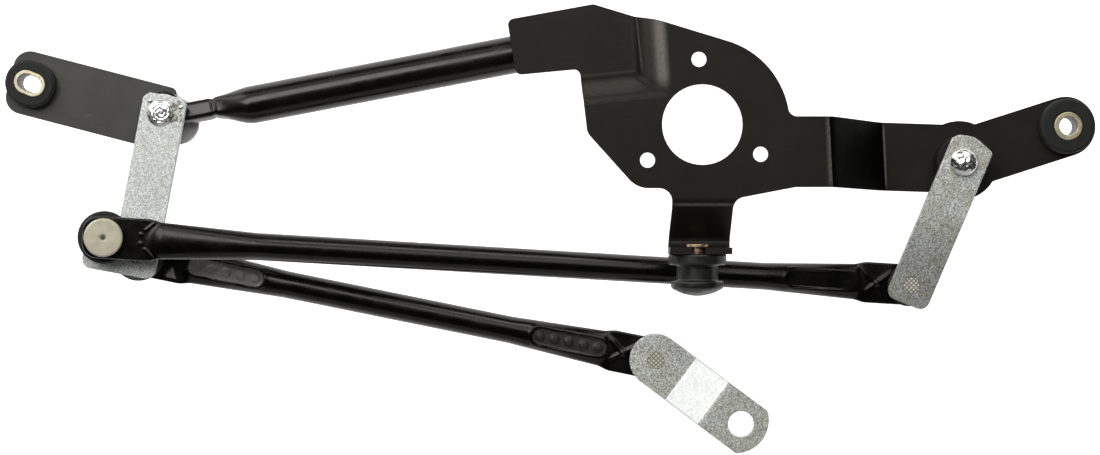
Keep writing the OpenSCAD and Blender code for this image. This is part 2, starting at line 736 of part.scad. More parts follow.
// Ball stud standing up from a lever face at z = 0, staked flush through the lever's thickness
neck_d = 7;
collar_d = 12;
collar_t = 1.5;
stake_h = 0.4;
module ball_stud(rise) {
  color(zinc) difference() {
    union() {
      translate([0, 0, -lever_t - stake_h]) cylinder(d = stud_shank_d, h = lever_t + stake_h + eps);
      cylinder(d = collar_d, h = collar_t);
      cylinder(d = neck_d, h = rise);
      translate([0, 0, rise]) sphere(d = ball_d);
    }
    for (turned = [0, 90]) rotate(turned + 45) for (i = [-2:2])
      translate([-stake_d, i * 1.5 - 0.25, -lever_t - stake_h - 1]) cube([2 * stake_d, 0.5, 1.25]);
  }
}

module upright(face_z, ball) { translate(at(xy(ball), face_z)) children(); }
module hanging(face_z, ball) { translate(at(xy(ball), face_z)) rotate([180, 0, 0]) children(); }
module front_ball_stud() { upright(left_lever_z, front_ball) ball_stud(front_rise); }
module rear_ball_stud() { hanging(left_lever_z - lever_t, rear_ball) ball_stud(rear_rise); }
module right_ball_stud() { hanging(right_lever_z - lever_t, right_ball) ball_stud(rear_rise); }
module crank_ball_stud() { hanging(crank_z - lever_t, crank_ball) ball_stud(rear_rise); }

// Connecting rods: a tube whose ends are pressed flat, with a stamped pocket beside some ends
rod_over = 9.8;
rod_flat = 20;
rod_crease = 27;
rod_round = 70;
rod_end_r = 7;
pocket_start = 22;
pocket_end = 60;
pocket_w = 8.6;
pocket_depth = 1.1;
pip_count = 4;
pip_d = 3.4;
pip_h = 0.6;
crease_share = 0.62;
function flatness(s) = s <= rod_flat ? 1 : s >= rod_round ? 0 :
  s <= rod_crease ? 1 - (1 - crease_share) * ease((s - rod_flat) / (rod_crease - rod_flat)) :
  crease_share * (rod_round - s) / (rod_round - rod_crease);
function rod_w(s) = rod_d + (rod_end_w - rod_d) * flatness(s);
function rod_t(s) = max(rod_end_t, (PI * rod_d - 2 * rod_w(s)) / (PI - 2));
function rod_station(s, d) = [s, rod_w(d), rod_t(d), rod_t(d) / 2, 0];
rod_steps = [-rod_over, rod_flat, 22, 24, rod_crease, 34, 41, 48, 55, 62, rod_round];
socket_hole_r = ball_d / 2 + ball_gap + socket_wall;

module pocket() {
  slope = atan2(rod_t(pocket_end) / 2 - rod_t(pocket_start) / 2, pocket_end - pocket_start);
  length = pocket_end - pocket_start;
  translate([pocket_start, 0, rod_t(pocket_start) / 2 - pocket_depth]) rotate([0, -slope, 0]) difference() {
    prism(0, 6) translate([length / 2, 0]) obround(length, pocket_w);
    for (i = [1:pip_count]) translate([length * i / (pip_count + 1), 0, -1])
      cylinder(d = pip_d, h = 1 + pip_h);
  }
}

module rod(a, b, pockets) {
  l = norm(b - a);
  n = len(rod_steps);
  stations = concat([for (s = rod_steps) rod_station(s, s)],
    [for (i = [n - 1:-1:0]) rod_station(l - rod_steps[i], rod_steps[i])]);
  color(gloss_black) along(a, b) difference() {
    loft(stations);
    for (x = [0, l]) translate([x, 0, -rod_d]) cylinder(r = socket_hole_r, h = 2 * rod_d);
    rod_end_rounding();
    translate([l, 0, 0]) mirror([1, 0, 0]) rod_end_rounding();
    if (pockets[0]) pocket();
    if (pockets[1]) translate([l, 0, 0]) mirror([1, 0, 0]) pocket();
  }
}

// Cuts the two corners of a rod end round
module rod_end_rounding() {
  half = rod_end_w / 2 + 1;
  prism(-rod_d, rod_d) difference() {
    translate([-rod_over - 1, -half]) square([rod_end_r + 1, 2 * half]);
    for (side = [-1, 1]) translate([rod_end_r - rod_over, side * (rod_end_w / 2 - rod_end_r)])
      circle(r = rod_end_r);
    translate([-rod_over, rod_end_r - rod_end_w / 2]) square([rod_end_r + 1, rod_end_w - 2 * rod_end_r]);
  }
}

module long_rod() { rod(front_ball, right_ball, [false, true]); }
module short_rod() { rod(rear_ball, crank_ball, [true, true]); }

// Ball socket with its closed cap up, around a ball at the origin
cap_h = ball_d / 2 + ball_gap + 1.5;
skirt_r = socket_hole_r + 1;
skirt_low = -4.8;
mouth_h = -4;
module socket() {
  cavity = ball_d / 2 + ball_gap;
  mouth_r = sqrt(cavity * cavity - mouth_h * mouth_h);
  color(beige) difference() {
    rotate_extrude() polygon([[0, skirt_low], [skirt_r, skirt_low], [skirt_r, -rod_end_t / 2 - eps],
      [socket_hole_r, -rod_end_t / 2 - eps], [socket_hole_r, rod_end_t / 2 + eps],
      [socket_d / 2, rod_end_t / 2 + eps], [socket_d / 2, cap_h - 0.6], [socket_d / 2 - 0.6, cap_h],
      [2, cap_h], [1.2, cap_h - 0.6], [0, cap_h - 0.6]]);
    sphere(r = cavity);
    translate([0, 0, skirt_low - 1]) cylinder(r = mouth_r, h = mouth_h - skirt_low + 1.5);
  }
}

// Dust boot from the rod's flat end towards the lever, around a ball at the origin
module boot(rise, gap) {
  top = -rod_end_t / 2 - eps;
  low = -rise + gap;
  outer = boot_d / 2;
  color(rubber) rotate_extrude() polygon([[skirt_r, top], [outer - 0.8, top], [outer, top - 0.8],
    [outer, top - 2.4], [outer - 1.4, low + 1], [outer - 2, low], [skirt_r - 1.6, low],
    [skirt_r - 1.6, low + 0.8], [skirt_r, low + 1.8]]);
}

// Placed at either end of a rod, with the cap to the side away from the lever
module at_rod_start(a, b, up) { along(a, b) rotate([up ? 0 : 180, 0, 0]) children(); }
module at_rod_end(a, b, up) {
  along(a, b) translate([norm(b - a), 0, 0]) rotate([up ? 0 : 180, 0, 0]) children();
}
tilt_gap = 2.1;
level_gap = 1;

module long_rod_left_socket() { at_rod_start(front_ball, right_ball, true) socket(); }
module long_rod_left_boot() { at_rod_start(front_ball, right_ball, true) boot(front_rise, tilt_gap); }
module long_rod_right_socket() { at_rod_end(front_ball, right_ball, false) socket(); }
module long_rod_right_boot() { at_rod_end(front_ball, right_ball, false) boot(rear_rise, tilt_gap); }
module short_rod_left_socket() { at_rod_start(rear_ball, crank_ball, false) socket(); }
module short_rod_left_boot() { at_rod_start(rear_ball, crank_ball, false) boot(rear_rise, level_gap); }
module short_rod_right_socket() { at_rod_end(rear_ball, crank_ball, false) socket(); }
module short_rod_right_boot() { at_rod_end(rear_ball, crank_ball, false) boot(rear_rise, level_gap); }

// Motor crank: a joggled strip with a round stud end and a rounded motor end
crank_bend_1 = 14.6;
crank_bend_2 = 32.2;
crank_end_r = 15.5;
crank_end_over = 12.3;
module motor_crank() {
  path = [[-crank_w, 0], [crank_bend_1, 0], [crank_bend_2, crank_rise], [crank_l + crank_w, crank_rise]];
  color(zinc) translate(at(xy(crank_ball), crank_z)) rotate(crank_angle) difference() {
    intersection() {
      rotate([90, 0, 0]) linear_extrude(2 * crank_w, center = true) bent_strip(path, lever_t);
      prism(-3 * lever_t, crank_rise + lever_t) union() {
        circle(d = crank_w);
        translate([0, -crank_w / 2]) square([crank_l - crank_end_r / 3, crank_w]);
        intersection() {
          translate([crank_l + crank_end_over - crank_end_r, 0]) circle(r = crank_end_r);
          translate([0, -crank_w / 2]) square([crank_l + crank_w, crank_w]);
        }
      }
    }
    translate([0, 0, -2 * lever_t]) cylinder(d = stud_shank_d, h = 3 * lever_t);
    translate([crank_l, 0, 0]) cylinder(d = crank_hole_d, h = 2 * crank_rise);
  }
}

mounting_bracket();
frame_tube();
left_plate();
tube_welds();
left_pivot_housing();
left_bushes();
left_thrust_washer();
right_pivot_housing();
right_bushes();
right_thrust_washer();
left_grommet();
left_sleeve();
right_grommet();
right_sleeve();
locator_stud();
locator_grommet();
left_lever();
left_pivot_shaft();
left_circlip();
front_ball_stud();
rear_ball_stud();
right_lever();
right_pivot_shaft();
right_circlip();
right_ball_stud();
long_rod();
long_rod_left_socket();
long_rod_left_boot();
long_rod_right_socket();
long_rod_right_boot();
short_rod();
short_rod_left_socket();
short_rod_left_boot();
short_rod_right_socket();
short_rod_right_boot();
motor_crank();
crank_ball_stud();
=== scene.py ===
"""Looks of a windscreen wiper linkage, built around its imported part.

Everything is in metres in the part's own frame: X along the frame, Y across it, Z up from the motor
plate's front face. The photograph looks straight down on that face.
"""

import json
import math
from collections import namedtuple

import bmesh
import bpy
import numpy as np
from mathutils import Matrix, Vector, noise


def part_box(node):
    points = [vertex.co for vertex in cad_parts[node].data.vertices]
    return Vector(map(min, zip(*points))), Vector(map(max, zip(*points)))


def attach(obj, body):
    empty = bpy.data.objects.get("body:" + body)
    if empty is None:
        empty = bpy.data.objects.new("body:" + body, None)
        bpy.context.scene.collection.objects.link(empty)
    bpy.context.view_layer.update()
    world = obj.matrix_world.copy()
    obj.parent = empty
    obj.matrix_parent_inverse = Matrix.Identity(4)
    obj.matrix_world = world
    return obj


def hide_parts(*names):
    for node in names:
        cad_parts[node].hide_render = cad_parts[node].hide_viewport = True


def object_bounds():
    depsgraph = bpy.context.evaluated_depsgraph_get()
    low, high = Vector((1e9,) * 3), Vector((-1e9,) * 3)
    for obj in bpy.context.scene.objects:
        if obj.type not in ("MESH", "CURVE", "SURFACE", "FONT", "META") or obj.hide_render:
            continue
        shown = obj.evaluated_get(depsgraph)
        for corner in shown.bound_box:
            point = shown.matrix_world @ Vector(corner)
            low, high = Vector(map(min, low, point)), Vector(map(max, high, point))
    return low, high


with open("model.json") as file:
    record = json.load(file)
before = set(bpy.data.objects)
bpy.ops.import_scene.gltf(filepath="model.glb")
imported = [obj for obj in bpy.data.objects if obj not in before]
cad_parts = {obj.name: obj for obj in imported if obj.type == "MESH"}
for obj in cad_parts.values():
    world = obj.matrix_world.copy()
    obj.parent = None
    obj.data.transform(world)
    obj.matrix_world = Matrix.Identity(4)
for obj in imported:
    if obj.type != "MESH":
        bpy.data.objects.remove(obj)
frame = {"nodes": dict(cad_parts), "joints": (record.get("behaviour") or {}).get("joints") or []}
nodes = frame["nodes"]
joints = {j["name"]: Vector(j["pos_m"]) for j in frame["joints"]}
cad_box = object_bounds()
MM = 0.001

# Photograph's frame and camera
PHOTO_W = 1100
PHOTO_FOCAL = 2725
CAMERA_AT = (-69.95 * MM, -47.25 * MM, 1250 * MM)
SENSOR_W = 36


def make_camera():
    data = bpy.data.cameras.new("camera")
    data.sensor_width = SENSOR_W
    data.lens = SENSOR_W * PHOTO_FOCAL / PHOTO_W
    camera = bpy.data.objects.new("camera", data)
    camera.location = CAMERA_AT
    bpy.context.scene.collection.objects.link(camera)
    bpy.context.scene.camera = camera


# Sockets of a colour mix node, and rays of a bevel node
MIX_SHARE, MIX_A, MIX_B = 0, 6, 7
MIX_OUT = 2
BEVEL_SAMPLES = 6

# Painted highlights and shade on bends: where they fade along and across them, as shares of their half
# sizes, and their grain
BEND_ENDS = (0.6, 1.0)
BEND_SIDES = (0.1, 1.0)
BEND_GRAIN = 1.6 * MM


# Materials
class Finish:
    """A material's node tree, with short calls that add nodes and join them."""

    def __init__(self, name, **sockets):
        self.material = bpy.data.materials.new(name)
        self.material.use_nodes = True
        self.tree = self.material.node_tree
        self.shader = self.tree.nodes["Principled BSDF"]
        self.where = self.node("ShaderNodeTexCoord").outputs["Object"]
        self.set(**sockets)

    def put(self, socket, value):
        if isinstance(value, bpy.types.NodeSocket):
            self.tree.links.new(value, socket)
        else:
            socket.default_value = value

    def node(self, kind, inputs=None, **settings):
        made = self.tree.nodes.new(kind)
        for key, value in settings.items():
            setattr(made, key, value)
        for key, value in (inputs or {}).items():
            self.put(made.inputs[key], value)
        return made

    def set(self, **sockets):
        for key, value in sockets.items():
            self.put(self.shader.inputs[key.replace("_", " ")], value)
        return self

    def place(self, stretch, turn):
        """The part's coordinates, turned about Z and stretched."""
        inputs = {"Vector": self.where, "Scale": stretch, "Rotation": (0, 0, math.radians(turn))}
        return self.node("ShaderNodeMapping", inputs).outputs[0]

    def noise(self, size, detail, rough=0.55, where=None):
        inputs = {"Vector": where or self.where, "Scale": 1 / size, "Detail": detail, "Roughness": rough}
        return self.node("ShaderNodeTexNoise", inputs).outputs[0]

    def cells(self, size):
        inputs = {"Vector": self.where, "Scale": 1 / size}
        return self.node("ShaderNodeTexVoronoi", inputs).outputs["Color"]

    def span(self, value, low, high, to_low=0.0, to_high=1.0):
        names = ("Value", "From Min", "From Max", "To Min", "To Max")
        inputs = dict(zip(names, (value, low, high, to_low, to_high)))
        return self.node("ShaderNodeMapRange", inputs, interpolation_type="SMOOTHSTEP").outputs[0]

    def math(self, operation, a, b=0.0):
        return self.node("ShaderNodeMath", {0: a, 1: b}, operation=operation).outputs[0]

    def mix(self, share, a, b, blend="MIX"):
        made = self.node("ShaderNodeMix", data_type="RGBA", blend_type=blend)
        self.put(made.inputs[MIX_SHARE], share)
        for socket, colour in ((MIX_A, a), (MIX_B, b)):
            linked = isinstance(colour, bpy.types.NodeSocket)
            self.put(made.inputs[socket], colour if linked else (*colour, 1))
        return made.outputs[MIX_OUT]

    def grey(self, value):
        return self.node("ShaderNodeCombineColor", {0: value, 1: value, 2: value}).outputs[0]

    def vector(self, operation, a, b):
        return self.node("ShaderNodeVectorMath", {0: a, 1: b}, operation=operation).outputs

    def along(self, start, end):
        """Share of the way from one point of the plan to another, in millimetres."""
        run = (Vector(end) - Vector(start)).to_3d() * MM
        local = self.vector("SUBTRACT", self.where, Vector(start).to_3d() * MM)[0]
        return self.vector("DOT_PRODUCT", local, run / run.length_squared)["Value"]

    def reach(self, centre):
        """Distance in plan from a point of the part's frame."""
        local = self.vector("SUBTRACT", self.where, centre)[0]
        flat = self.vector("MULTIPLY", local, (1, 1, 0))[0]
        return self.node("ShaderNodeVectorMath", {0: flat}, operation="LENGTH").outputs["Value"]

    def bump(self, height, depth, strength, below=None):
        inputs = {"Height": height, "Distance": depth, "Strength": strength}
        if below:
            inputs["Normal"] = below
        return self.node("ShaderNodeBump", inputs).outputs[0]

    def edges(self, radius, low=0.02, high=0.25):
        """Share of worn edge: where a rounded normal leaves the true one."""
        soft = self.node("ShaderNodeBevel", {"Radius": radius}, samples=BEVEL_SAMPLES).outputs[0]
        hard = self.node("ShaderNodeNewGeometry").outputs["True Normal"]
        dot = self.vector("DOT_PRODUCT", soft, hard)["Value"]
        return self.span(self.math("SUBTRACT", 1.0, dot), low, high)

    def bend_shading_mask(self, bend):
        """Share of painted light and shade along a straight bend, strongest on its middle and broken up
        by noise.
        """
        inputs = {
            "Vector": self.where,
            "Location": (bend.x * MM, bend.y * MM, 0),
            "Rotation": (0, 0, math.radians(bend.turn)),
            "Scale": (bend.half_l * MM, bend.half_w * MM, 1),
        }
        local = self.node("ShaderNodeMapping", inputs, vector_type="TEXTURE").outputs[0]
        parts = self.node("ShaderNodeSeparateXYZ", {0: local}).outputs
        along = self.span(self.math("ABSOLUTE", parts[0]), *BEND_ENDS, 1, 0)
        across = self.span(self.math("ABSOLUTE", parts[1]), *BEND_SIDES, 1, 0)
        broken = self.span(self.noise(BEND_GRAIN, 4, 0.65), 0.3, 0.6, 1 - bend.broken, 1)
        return self.math("MULTIPLY", self.math("MULTIPLY", along, across), broken)


def toned(tone, factor):
    return tuple(c * factor for c in tone)


# Sizes of the marks in black paint
CLOUD = 24 * MM
SCUFF_W = 1.0 * MM
SCUFF_STRETCH = (0.06, 1, 1)
SCUFF_PATCH = 14 * MM
PAINT_DUST = 0.9 * MM
PAINT_PIT = 2.2 * MM
PAINT_EDGE = 0.5 * MM
PAINT_CHIP = 3 * MM
PAINT_GLOSS = 9 * MM
PEEL = 1.1 * MM
PEEL_DEPTH = 0.03 * MM
WAVE = 16 * MM
WAVE_DEPTH = 0.16 * MM


def coat(name, tone, rough, specular, scuff=0.5, turn=0, peel=0.5, bend_shading=(), tint=(1, 1, 1, 1)):
    """Black paint: clouded, with fine scuffs one way, dust specks, worn edges, and painted highlights
    and shade along the given bends.
    """
    f = Finish(name, Specular_IOR_Level=specular, Specular_Tint=tint)
    cloud = f.span(f.noise(CLOUD, 3), 0.3, 0.7)
    colour = f.mix(cloud, toned(tone, 0.82), toned(tone, 1.2))
    lines = f.noise(SCUFF_W, 3, 0.6, f.place(SCUFF_STRETCH, turn))
    patches = f.span(f.noise(SCUFF_PATCH, 4, 0.6), 0.5, 0.72)
    scuffs = f.math("MULTIPLY", f.span(lines, 0.54, 0.72), patches)
    colour = f.mix(f.math("MULTIPLY", scuffs, scuff), colour, toned(tone, 3.2))
    dust = f.span(f.noise(PAINT_DUST, 2), 0.72, 0.8)
    colour = f.mix(f.math("MULTIPLY", dust, 0.35), colour, toned(tone, 2.6))
    pits = f.math("MULTIPLY", f.span(f.noise(PAINT_PIT, 3), 0.66, 0.74), patches)
    colour = f.mix(f.math("MULTIPLY", pits, 0.8), colour, toned(tone, 0.1))
    worn = f.math("MULTIPLY", f.edges(PAINT_EDGE), f.span(f.noise(PAINT_CHIP, 4), 0.42, 0.62))
    colour = f.mix(f.math("MULTIPLY", worn, 0.55), colour, toned(tone, 4))
    # Painted light and shade along the bends
    for bend in bend_shading:
        colour = f.mix(f.bend_shading_mask(bend), colour, bend.tone)
    roughness = f.span(f.noise(PAINT_GLOSS, 5, 0.65), 0.25, 0.75, rough - 0.05, rough + 0.09)
    normal = f.bump(f.noise(PEEL, 3), PEEL_DEPTH, peel)
    normal = f.bump(f.noise(WAVE, 2), WAVE_DEPTH, peel, normal)
    return f.set(Base_Color=colour, Roughness=roughness, Normal=normal).material


# Sizes of the marks in zinc, and how far the coarse crystals and the rust go beyond their own size
ZINC_BLOTCH = 9 * MM
STREAK_W = 0.5 * MM
STREAK_STRETCH = (1, 0.05, 1)
ZINC_EDGE = 0.35 * MM
ZINC_RELIEF = 0.010 * MM
RUST_GRAIN = 1.5 * MM
RUST_SPREAD = 1.6
COARSE_GRAIN = 1.7


def zinc(name, tone, tint, grain, rough, contrast, streak_turn, rust=(), metallic=1.0, fade=None):
    """Zinc plating: a bright grain of crystals, tinted blotches, streaks and rust spots."""
    f = Finish(name, Metallic=metallic)
    crystal = f.node("ShaderNodeSeparateColor", {"Color": f.cells(grain)}).outputs[0]
    coarse = f.node("ShaderNodeSeparateColor", {"Color": f.cells(grain * COARSE_GRAIN)}).outputs[1]
    speckle = f.math("ADD", f.math("MULTIPLY", crystal, 0.65), f.math("MULTIPLY", coarse, 0.35))
    speckle = f.math("ADD", speckle, f.span(f.noise(grain, 3, 0.7), 0.3, 0.7, -0.2, 0.2))
    blotch = f.span(f.noise(ZINC_BLOTCH, 4, 0.6), 0.35, 0.65)
    colour = f.mix(blotch, tone, tint)
    shade = f.span(speckle, 0.1, 0.95, 1 - contrast, 1 + contrast * 0.55)
    colour = f.mix(1.0, colour, f.grey(shade), "MULTIPLY")
    if fade:
        darkened = f.span(f.along(fade.start, fade.end), 0, 1, 1, fade.share)
        colour = f.mix(1.0, colour, f.grey(darkened), "MULTIPLY")
    streaks = f.noise(STREAK_W, 2, 0.5, f.place(STREAK_STRETCH, streak_turn))
    colour = f.mix(f.span(streaks, 0.66, 0.78, 0, 0.35), colour, toned(tone, 0.55))
    worn = f.edges(ZINC_EDGE, 0.03, 0.3)
    colour = f.mix(f.math("MULTIPLY", worn, 0.5), colour, toned(tone, 1.25))
    for x, y, radius in rust:
        size = radius * MM
        ragged = f.span(f.noise(RUST_GRAIN, 4), 0.3, 0.7, -size, size)
        spread = f.math("ADD", f.reach((x * MM, y * MM, 0)), ragged)
        colour = f.mix(f.span(spread, 0, size * RUST_SPREAD, 0.85, 0), colour, RUST_TONE)
    roughness = f.span(speckle, 0.1, 0.9, rough + 0.05, rough - 0.04)
    normal = f.bump(speckle, ZINC_RELIEF, 0.5)
    return f.set(Base_Color=colour, Roughness=roughness, Normal=normal).material


# Sizes of the marks in rubber
MOTTLE = 3.5 * MM
RUBBER_DUST = 0.8 * MM
RUBBER_EDGE = 0.9 * MM
RUBBER_GRAIN = 0.7 * MM
RUBBER_RELIEF = 0.06 * MM


def rubber(name, tone, dust=0.5, specular=0.28, rough=0.62):
    """Matte rubber: faintly mottled, paler where dust sits and along its edges."""
    f = Finish(name, Specular_IOR_Level=specular)
    mottle = f.span(f.noise(MOTTLE, 5, 0.65), 0.35, 0.68)
    colour = f.mix(mottle, toned(tone, 0.7), toned(tone, 1.3))
    specks = f.span(f.noise(RUBBER_DUST, 3), 0.62, 0.78)
    colour = f.mix(f.math("MULTIPLY", specks, dust), colour, toned(tone, 2.8))
    worn = f.edges(RUBBER_EDGE, 0.01, 0.2)
    colour = f.mix(f.math("MULTIPLY", worn, 0.35), colour, toned(tone, 2.4))
    roughness = f.span(mottle, 0.0, 1.0, rough, rough + 0.18)
    normal = f.bump(f.noise(RUBBER_GRAIN, 4, 0.6), RUBBER_RELIEF, 0.5)
    return f.set(Base_Color=colour, Roughness=roughness, Normal=normal).material


# Sizes of the marks on small metal parts
STAIN = 2.6 * MM
PLATED_EDGE = 0.3 * MM
PLATED_GLOSS = 1.2 * MM
PLATED_GRAIN = 0.6 * MM
PLATED_RELIEF = 0.03 * MM


def plated(name, tone, dark, rough, metallic=0.9):
    """Chromated, brass-like or bare metal of small parts, stained here and there."""
    f = Finish(name, Metallic=metallic)
    stain = f.span(f.noise(STAIN, 5, 0.65), 0.42, 0.7)
    colour = f.mix(stain, tone, dark)
    colour = f.mix(f.math("MULTIPLY", f.edges(PLATED_EDGE), 0.4), colour, toned(tone, 1.2))
    roughness = f.span(f.noise(PLATED_GLOSS, 4), 0.3, 0.7, rough - 0.07, rough + 0.12)
    normal = f.bump(f.noise(PLATED_GRAIN, 3), PLATED_RELIEF, 0.5)
    return f.set(Base_Color=colour, Roughness=roughness, Normal=normal).material


# Sizes of the marks on a socket: its turned rings, the painted shade of the dimple in its middle, stains
# and grain
RING_PITCH = 1.15 * MM
SOCKET_DIMPLE_SHADE = (0.7 * MM, 1.7 * MM)
SOCKET_STAIN = 4.5 * MM
SOCKET_GRAIN = 0.8 * MM
SOCKET_RELIEF = 0.02 * MM


def moulded(name, tone, centre):
    """Moulded plastic of a ball socket: turned rings about the ball, painted shade in its middle dimple,
    stains and a soft gloss.
    """
    f = Finish(name, Specular_IOR_Level=0.35)
    reach = f.reach(centre)
    rings = f.math("SINE", f.math("MULTIPLY", reach, 2 * math.pi / RING_PITCH))
    stain = f.span(f.noise(SOCKET_STAIN, 4, 0.6), 0.35, 0.7)
    colour = f.mix(stain, toned(tone, 1.06), toned(tone, 0.86))
    colour = f.mix(f.span(rings, 0.2, 1.0, 0, 0.16), colour, toned(tone, 0.7))
    # Painted shade of the dimple in the middle
    colour = f.mix(f.span(reach, *SOCKET_DIMPLE_SHADE, 0.95, 0), colour, toned(tone, 0.1))
    normal = f.bump(rings, SOCKET_RELIEF, 0.5)
    normal = f.bump(f.noise(SOCKET_GRAIN, 3), SOCKET_RELIEF, 0.5, normal)
    roughness = f.span(stain, 0, 1, 0.36, 0.52)
    return f.set(Base_Color=colour, Roughness=roughness, Normal=normal).material


def middle_of(name):
    low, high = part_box(name)
    return (low + high) / 2


# Tones, as linear colours
BRACKET_TONE = (0.0112, 0.0098, 0.0058)
# Painted shade: a near-black copy of the bracket's tone for the arm's ramp
RAMP_SHADE_TONE = toned(BRACKET_TONE, 0.12)
PLATE_TONE = (0.0385, 0.0370, 0.0295)
TUBE_TONE = (0.0026, 0.0024, 0.0021)
ROD_TONE = (0.0012, 0.0011, 0.0009)
# Painted light: paler tones for the pocket floors and the small triangle on the short rod
LEFT_POCKET_LIGHT_TONE = (0.190, 0.185, 0.168)
RIGHT_POCKET_LIGHT_TONE = (0.018, 0.017, 0.014)
FACET_LIGHT_TONE = (0.210, 0.204, 0.186)
WARM_GLOSS = (1.0, 0.95, 0.90, 1)
RUBBER_TONE = (0.0180, 0.0190, 0.0160)
PLUG_TONE = (0.0060, 0.0060, 0.0050)
SOCKET_TONE = (0.60, 0.55, 0.415)
ZINC_PALE = (0.76, 0.785, 0.765)
ZINC_WARM = (0.74, 0.75, 0.70)
ZINC_GREY = (0.748, 0.7645, 0.7205)
ZINC_DULL = (0.68, 0.695, 0.655)
ZINC_OLIVE = (0.62, 0.625, 0.545)
# Painted highlight tone for the crank's ramp
ZINC_HIGHLIGHT = (0.69, 0.70, 0.69)
RUST_TONE = (0.12, 0.08, 0.04)

# Middle of the turned rings on a socket, a little off its own
SOCKET_RINGS = middle_of("long_rod_left_socket") + Vector((0.6 * MM, 0, 0))

# Rust on the left lever, in millimetres: place in plan and radius
LEVER_RUST = [(-244.9, 8.9, 2.7), (-244.0, 3.5, 2.1)]

# A plating colour that grows darker from one point of the plan to another, in millimetres, down to a
# share
Fade = namedtuple("Fade", "start end share")
# The right lever darkens towards its lower end
RIGHT_FADE = Fade((118, -32), (104, -66), 0.62)

# Bends of the bracket with painted highlights, and one painted dark line in a concave corner, in
# millimetres: middle, turn in degrees, half sizes
Bend = namedtuple("Bend", "x y turn half_w half_l broken tone")
BRACKET_BEND_SHADING = [
    Bend(-24.6, 36.0, 94, 5.0, 20.0, 0.3, (0.050, 0.048, 0.040)),
    Bend(-19.4, 36.0, 94, 4.6, 21.0, 0.2, (0.165, 0.157, 0.135)),
    Bend(-28.4, 38.2, 96, 0.6, 15.5, 0.5, (0.110, 0.106, 0.094)),
    Bend(-41.2, 18.6, 6, 5.6, 18.0, 0.45, (0.058, 0.055, 0.047)),
    Bend(-28.7, 20.8, -39, 0.6, 4.0, 0.3, (0.001, 0.001, 0.001)),
    Bend(59.0, -12.2, 92.6, 2.6, 20.0, 0.5, (0.120, 0.114, 0.088)),
    Bend(89.7, -12.9, 92.6, 0.8, 18.0, 0.3, (0.140, 0.136, 0.120)),
    Bend(0.7, -36.8, 0, 1.1, 17.0, 0.3, (0.110, 0.104, 0.088)),
]

finishes = {
    # The bracket's paint carries painted highlights on its bends
    "bracket": coat("bracket_coat", BRACKET_TONE, 0.45, 0.20, turn=12, bend_shading=BRACKET_BEND_SHADING),
    # Painted shade for the arm's ramp
    "ramp_shade": coat("ramp_shade_coat", RAMP_SHADE_TONE, 0.6, 0.03),
    "plate": coat("plate_coat", PLATE_TONE, 0.45, 0.45, turn=-14),
    "tube": coat("tube_coat", TUBE_TONE, 0.22, 0.42, scuff=0.3, turn=8, peel=0.3, tint=WARM_GLOSS),
    "zinc_left": zinc(
        "zinc_left", ZINC_PALE, ZINC_WARM, grain=0.38 * MM, rough=0.62, contrast=0.40,
        streak_turn=-10, rust=LEVER_RUST, metallic=0.35,
    ),
    "zinc_right": zinc(
        "zinc_right", ZINC_GREY, ZINC_OLIVE, grain=0.36 * MM, rough=0.52, contrast=0.6,
        streak_turn=-23, metallic=0.55, fade=RIGHT_FADE,
    ),
    "zinc_crank": zinc(
        "zinc_crank", ZINC_DULL, ZINC_OLIVE, grain=0.36 * MM, rough=0.58, contrast=0.6,
        streak_turn=-37, metallic=0.45,
    ),
    # Painted highlight: a brighter, smoother copy of the crank's zinc for its ramp
    "ramp_highlight_zinc": zinc(
        "ramp_highlight_zinc", ZINC_HIGHLIGHT, ZINC_HIGHLIGHT, grain=0.48 * MM, rough=0.50, contrast=0.15,
        streak_turn=-37,
    ),
    "rod": coat("rod_coat", ROD_TONE, 0.23, 0.34, scuff=0.25, turn=6, peel=0.2, tint=WARM_GLOSS),
    # Painted light on the pocket floors and the small triangle
    "left_pocket_light": coat("left_pocket_light_coat", LEFT_POCKET_LIGHT_TONE, 0.4, 0.4, scuff=0.3, peel=0.2),
    "right_pocket_light": coat("right_pocket_light_coat", RIGHT_POCKET_LIGHT_TONE, 0.36, 0.36, scuff=0.3, peel=0.2),
    "facet": coat("facet_light_coat", FACET_LIGHT_TONE, 0.4, 0.5, scuff=0.3, peel=0.2),
    "swirl": plated("swirled_zinc", (0.80, 0.81, 0.78), (0.60, 0.60, 0.55), 0.27, 0.95),
    "dome": plated("domed_zinc", (0.82, 0.82, 0.80), (0.62, 0.62, 0.60), 0.24, 1.0),
    "stake": plated("staked_end", (0.84, 0.82, 0.70), (0.66, 0.64, 0.53), 0.5, 0.6),
    # Painted shade for the grooves of the staked ends
    "groove_shade": plated("stake_groove_shade", (0.30, 0.29, 0.24), (0.20, 0.19, 0.15), 0.6, 0.4),
    # Painted shade for the insides of the sleeves
    "bore": plated("sleeve_bore", (0.20, 0.19, 0.20), (0.11, 0.10, 0.11), 0.5, 0.2),
    "steel": plated("bright_steel", (0.62, 0.63, 0.64), (0.40, 0.40, 0.40), 0.32, 1.0),
    "casting": plated("bare_casting", (0.46, 0.45, 0.445), (0.36, 0.35, 0.345), 0.5, 0.2),
    # Painted light: a paler copy of the casting for the ear's upward faces
    "casting_painted_light": plated("casting_painted_light", (0.80, 0.76, 0.77), (0.64, 0.60, 0.61), 0.5, 0.2),
    "socket": moulded("socket_plastic", SOCKET_TONE, SOCKET_RINGS),
    "rubber": rubber("black_rubber", RUBBER_TONE),
    "sleek_rubber": rubber("sleek_rubber", PLUG_TONE, 0.25, 0.5, 0.34),
    "chromate": plated("yellow_chromate", (0.60, 0.545, 0.39), (0.46, 0.40, 0.25), 0.40),
    "olive_chromate": plated("olive_chromate", (0.62, 0.55, 0.37), (0.42, 0.37, 0.25), 0.36),
    "brass": plated("stained_brass", (0.62, 0.45, 0.29), (0.22, 0.15, 0.09), 0.36),
    "bronze": plated("sintered_bronze", (0.50, 0.38, 0.23), (0.34, 0.25, 0.15), 0.42),
}

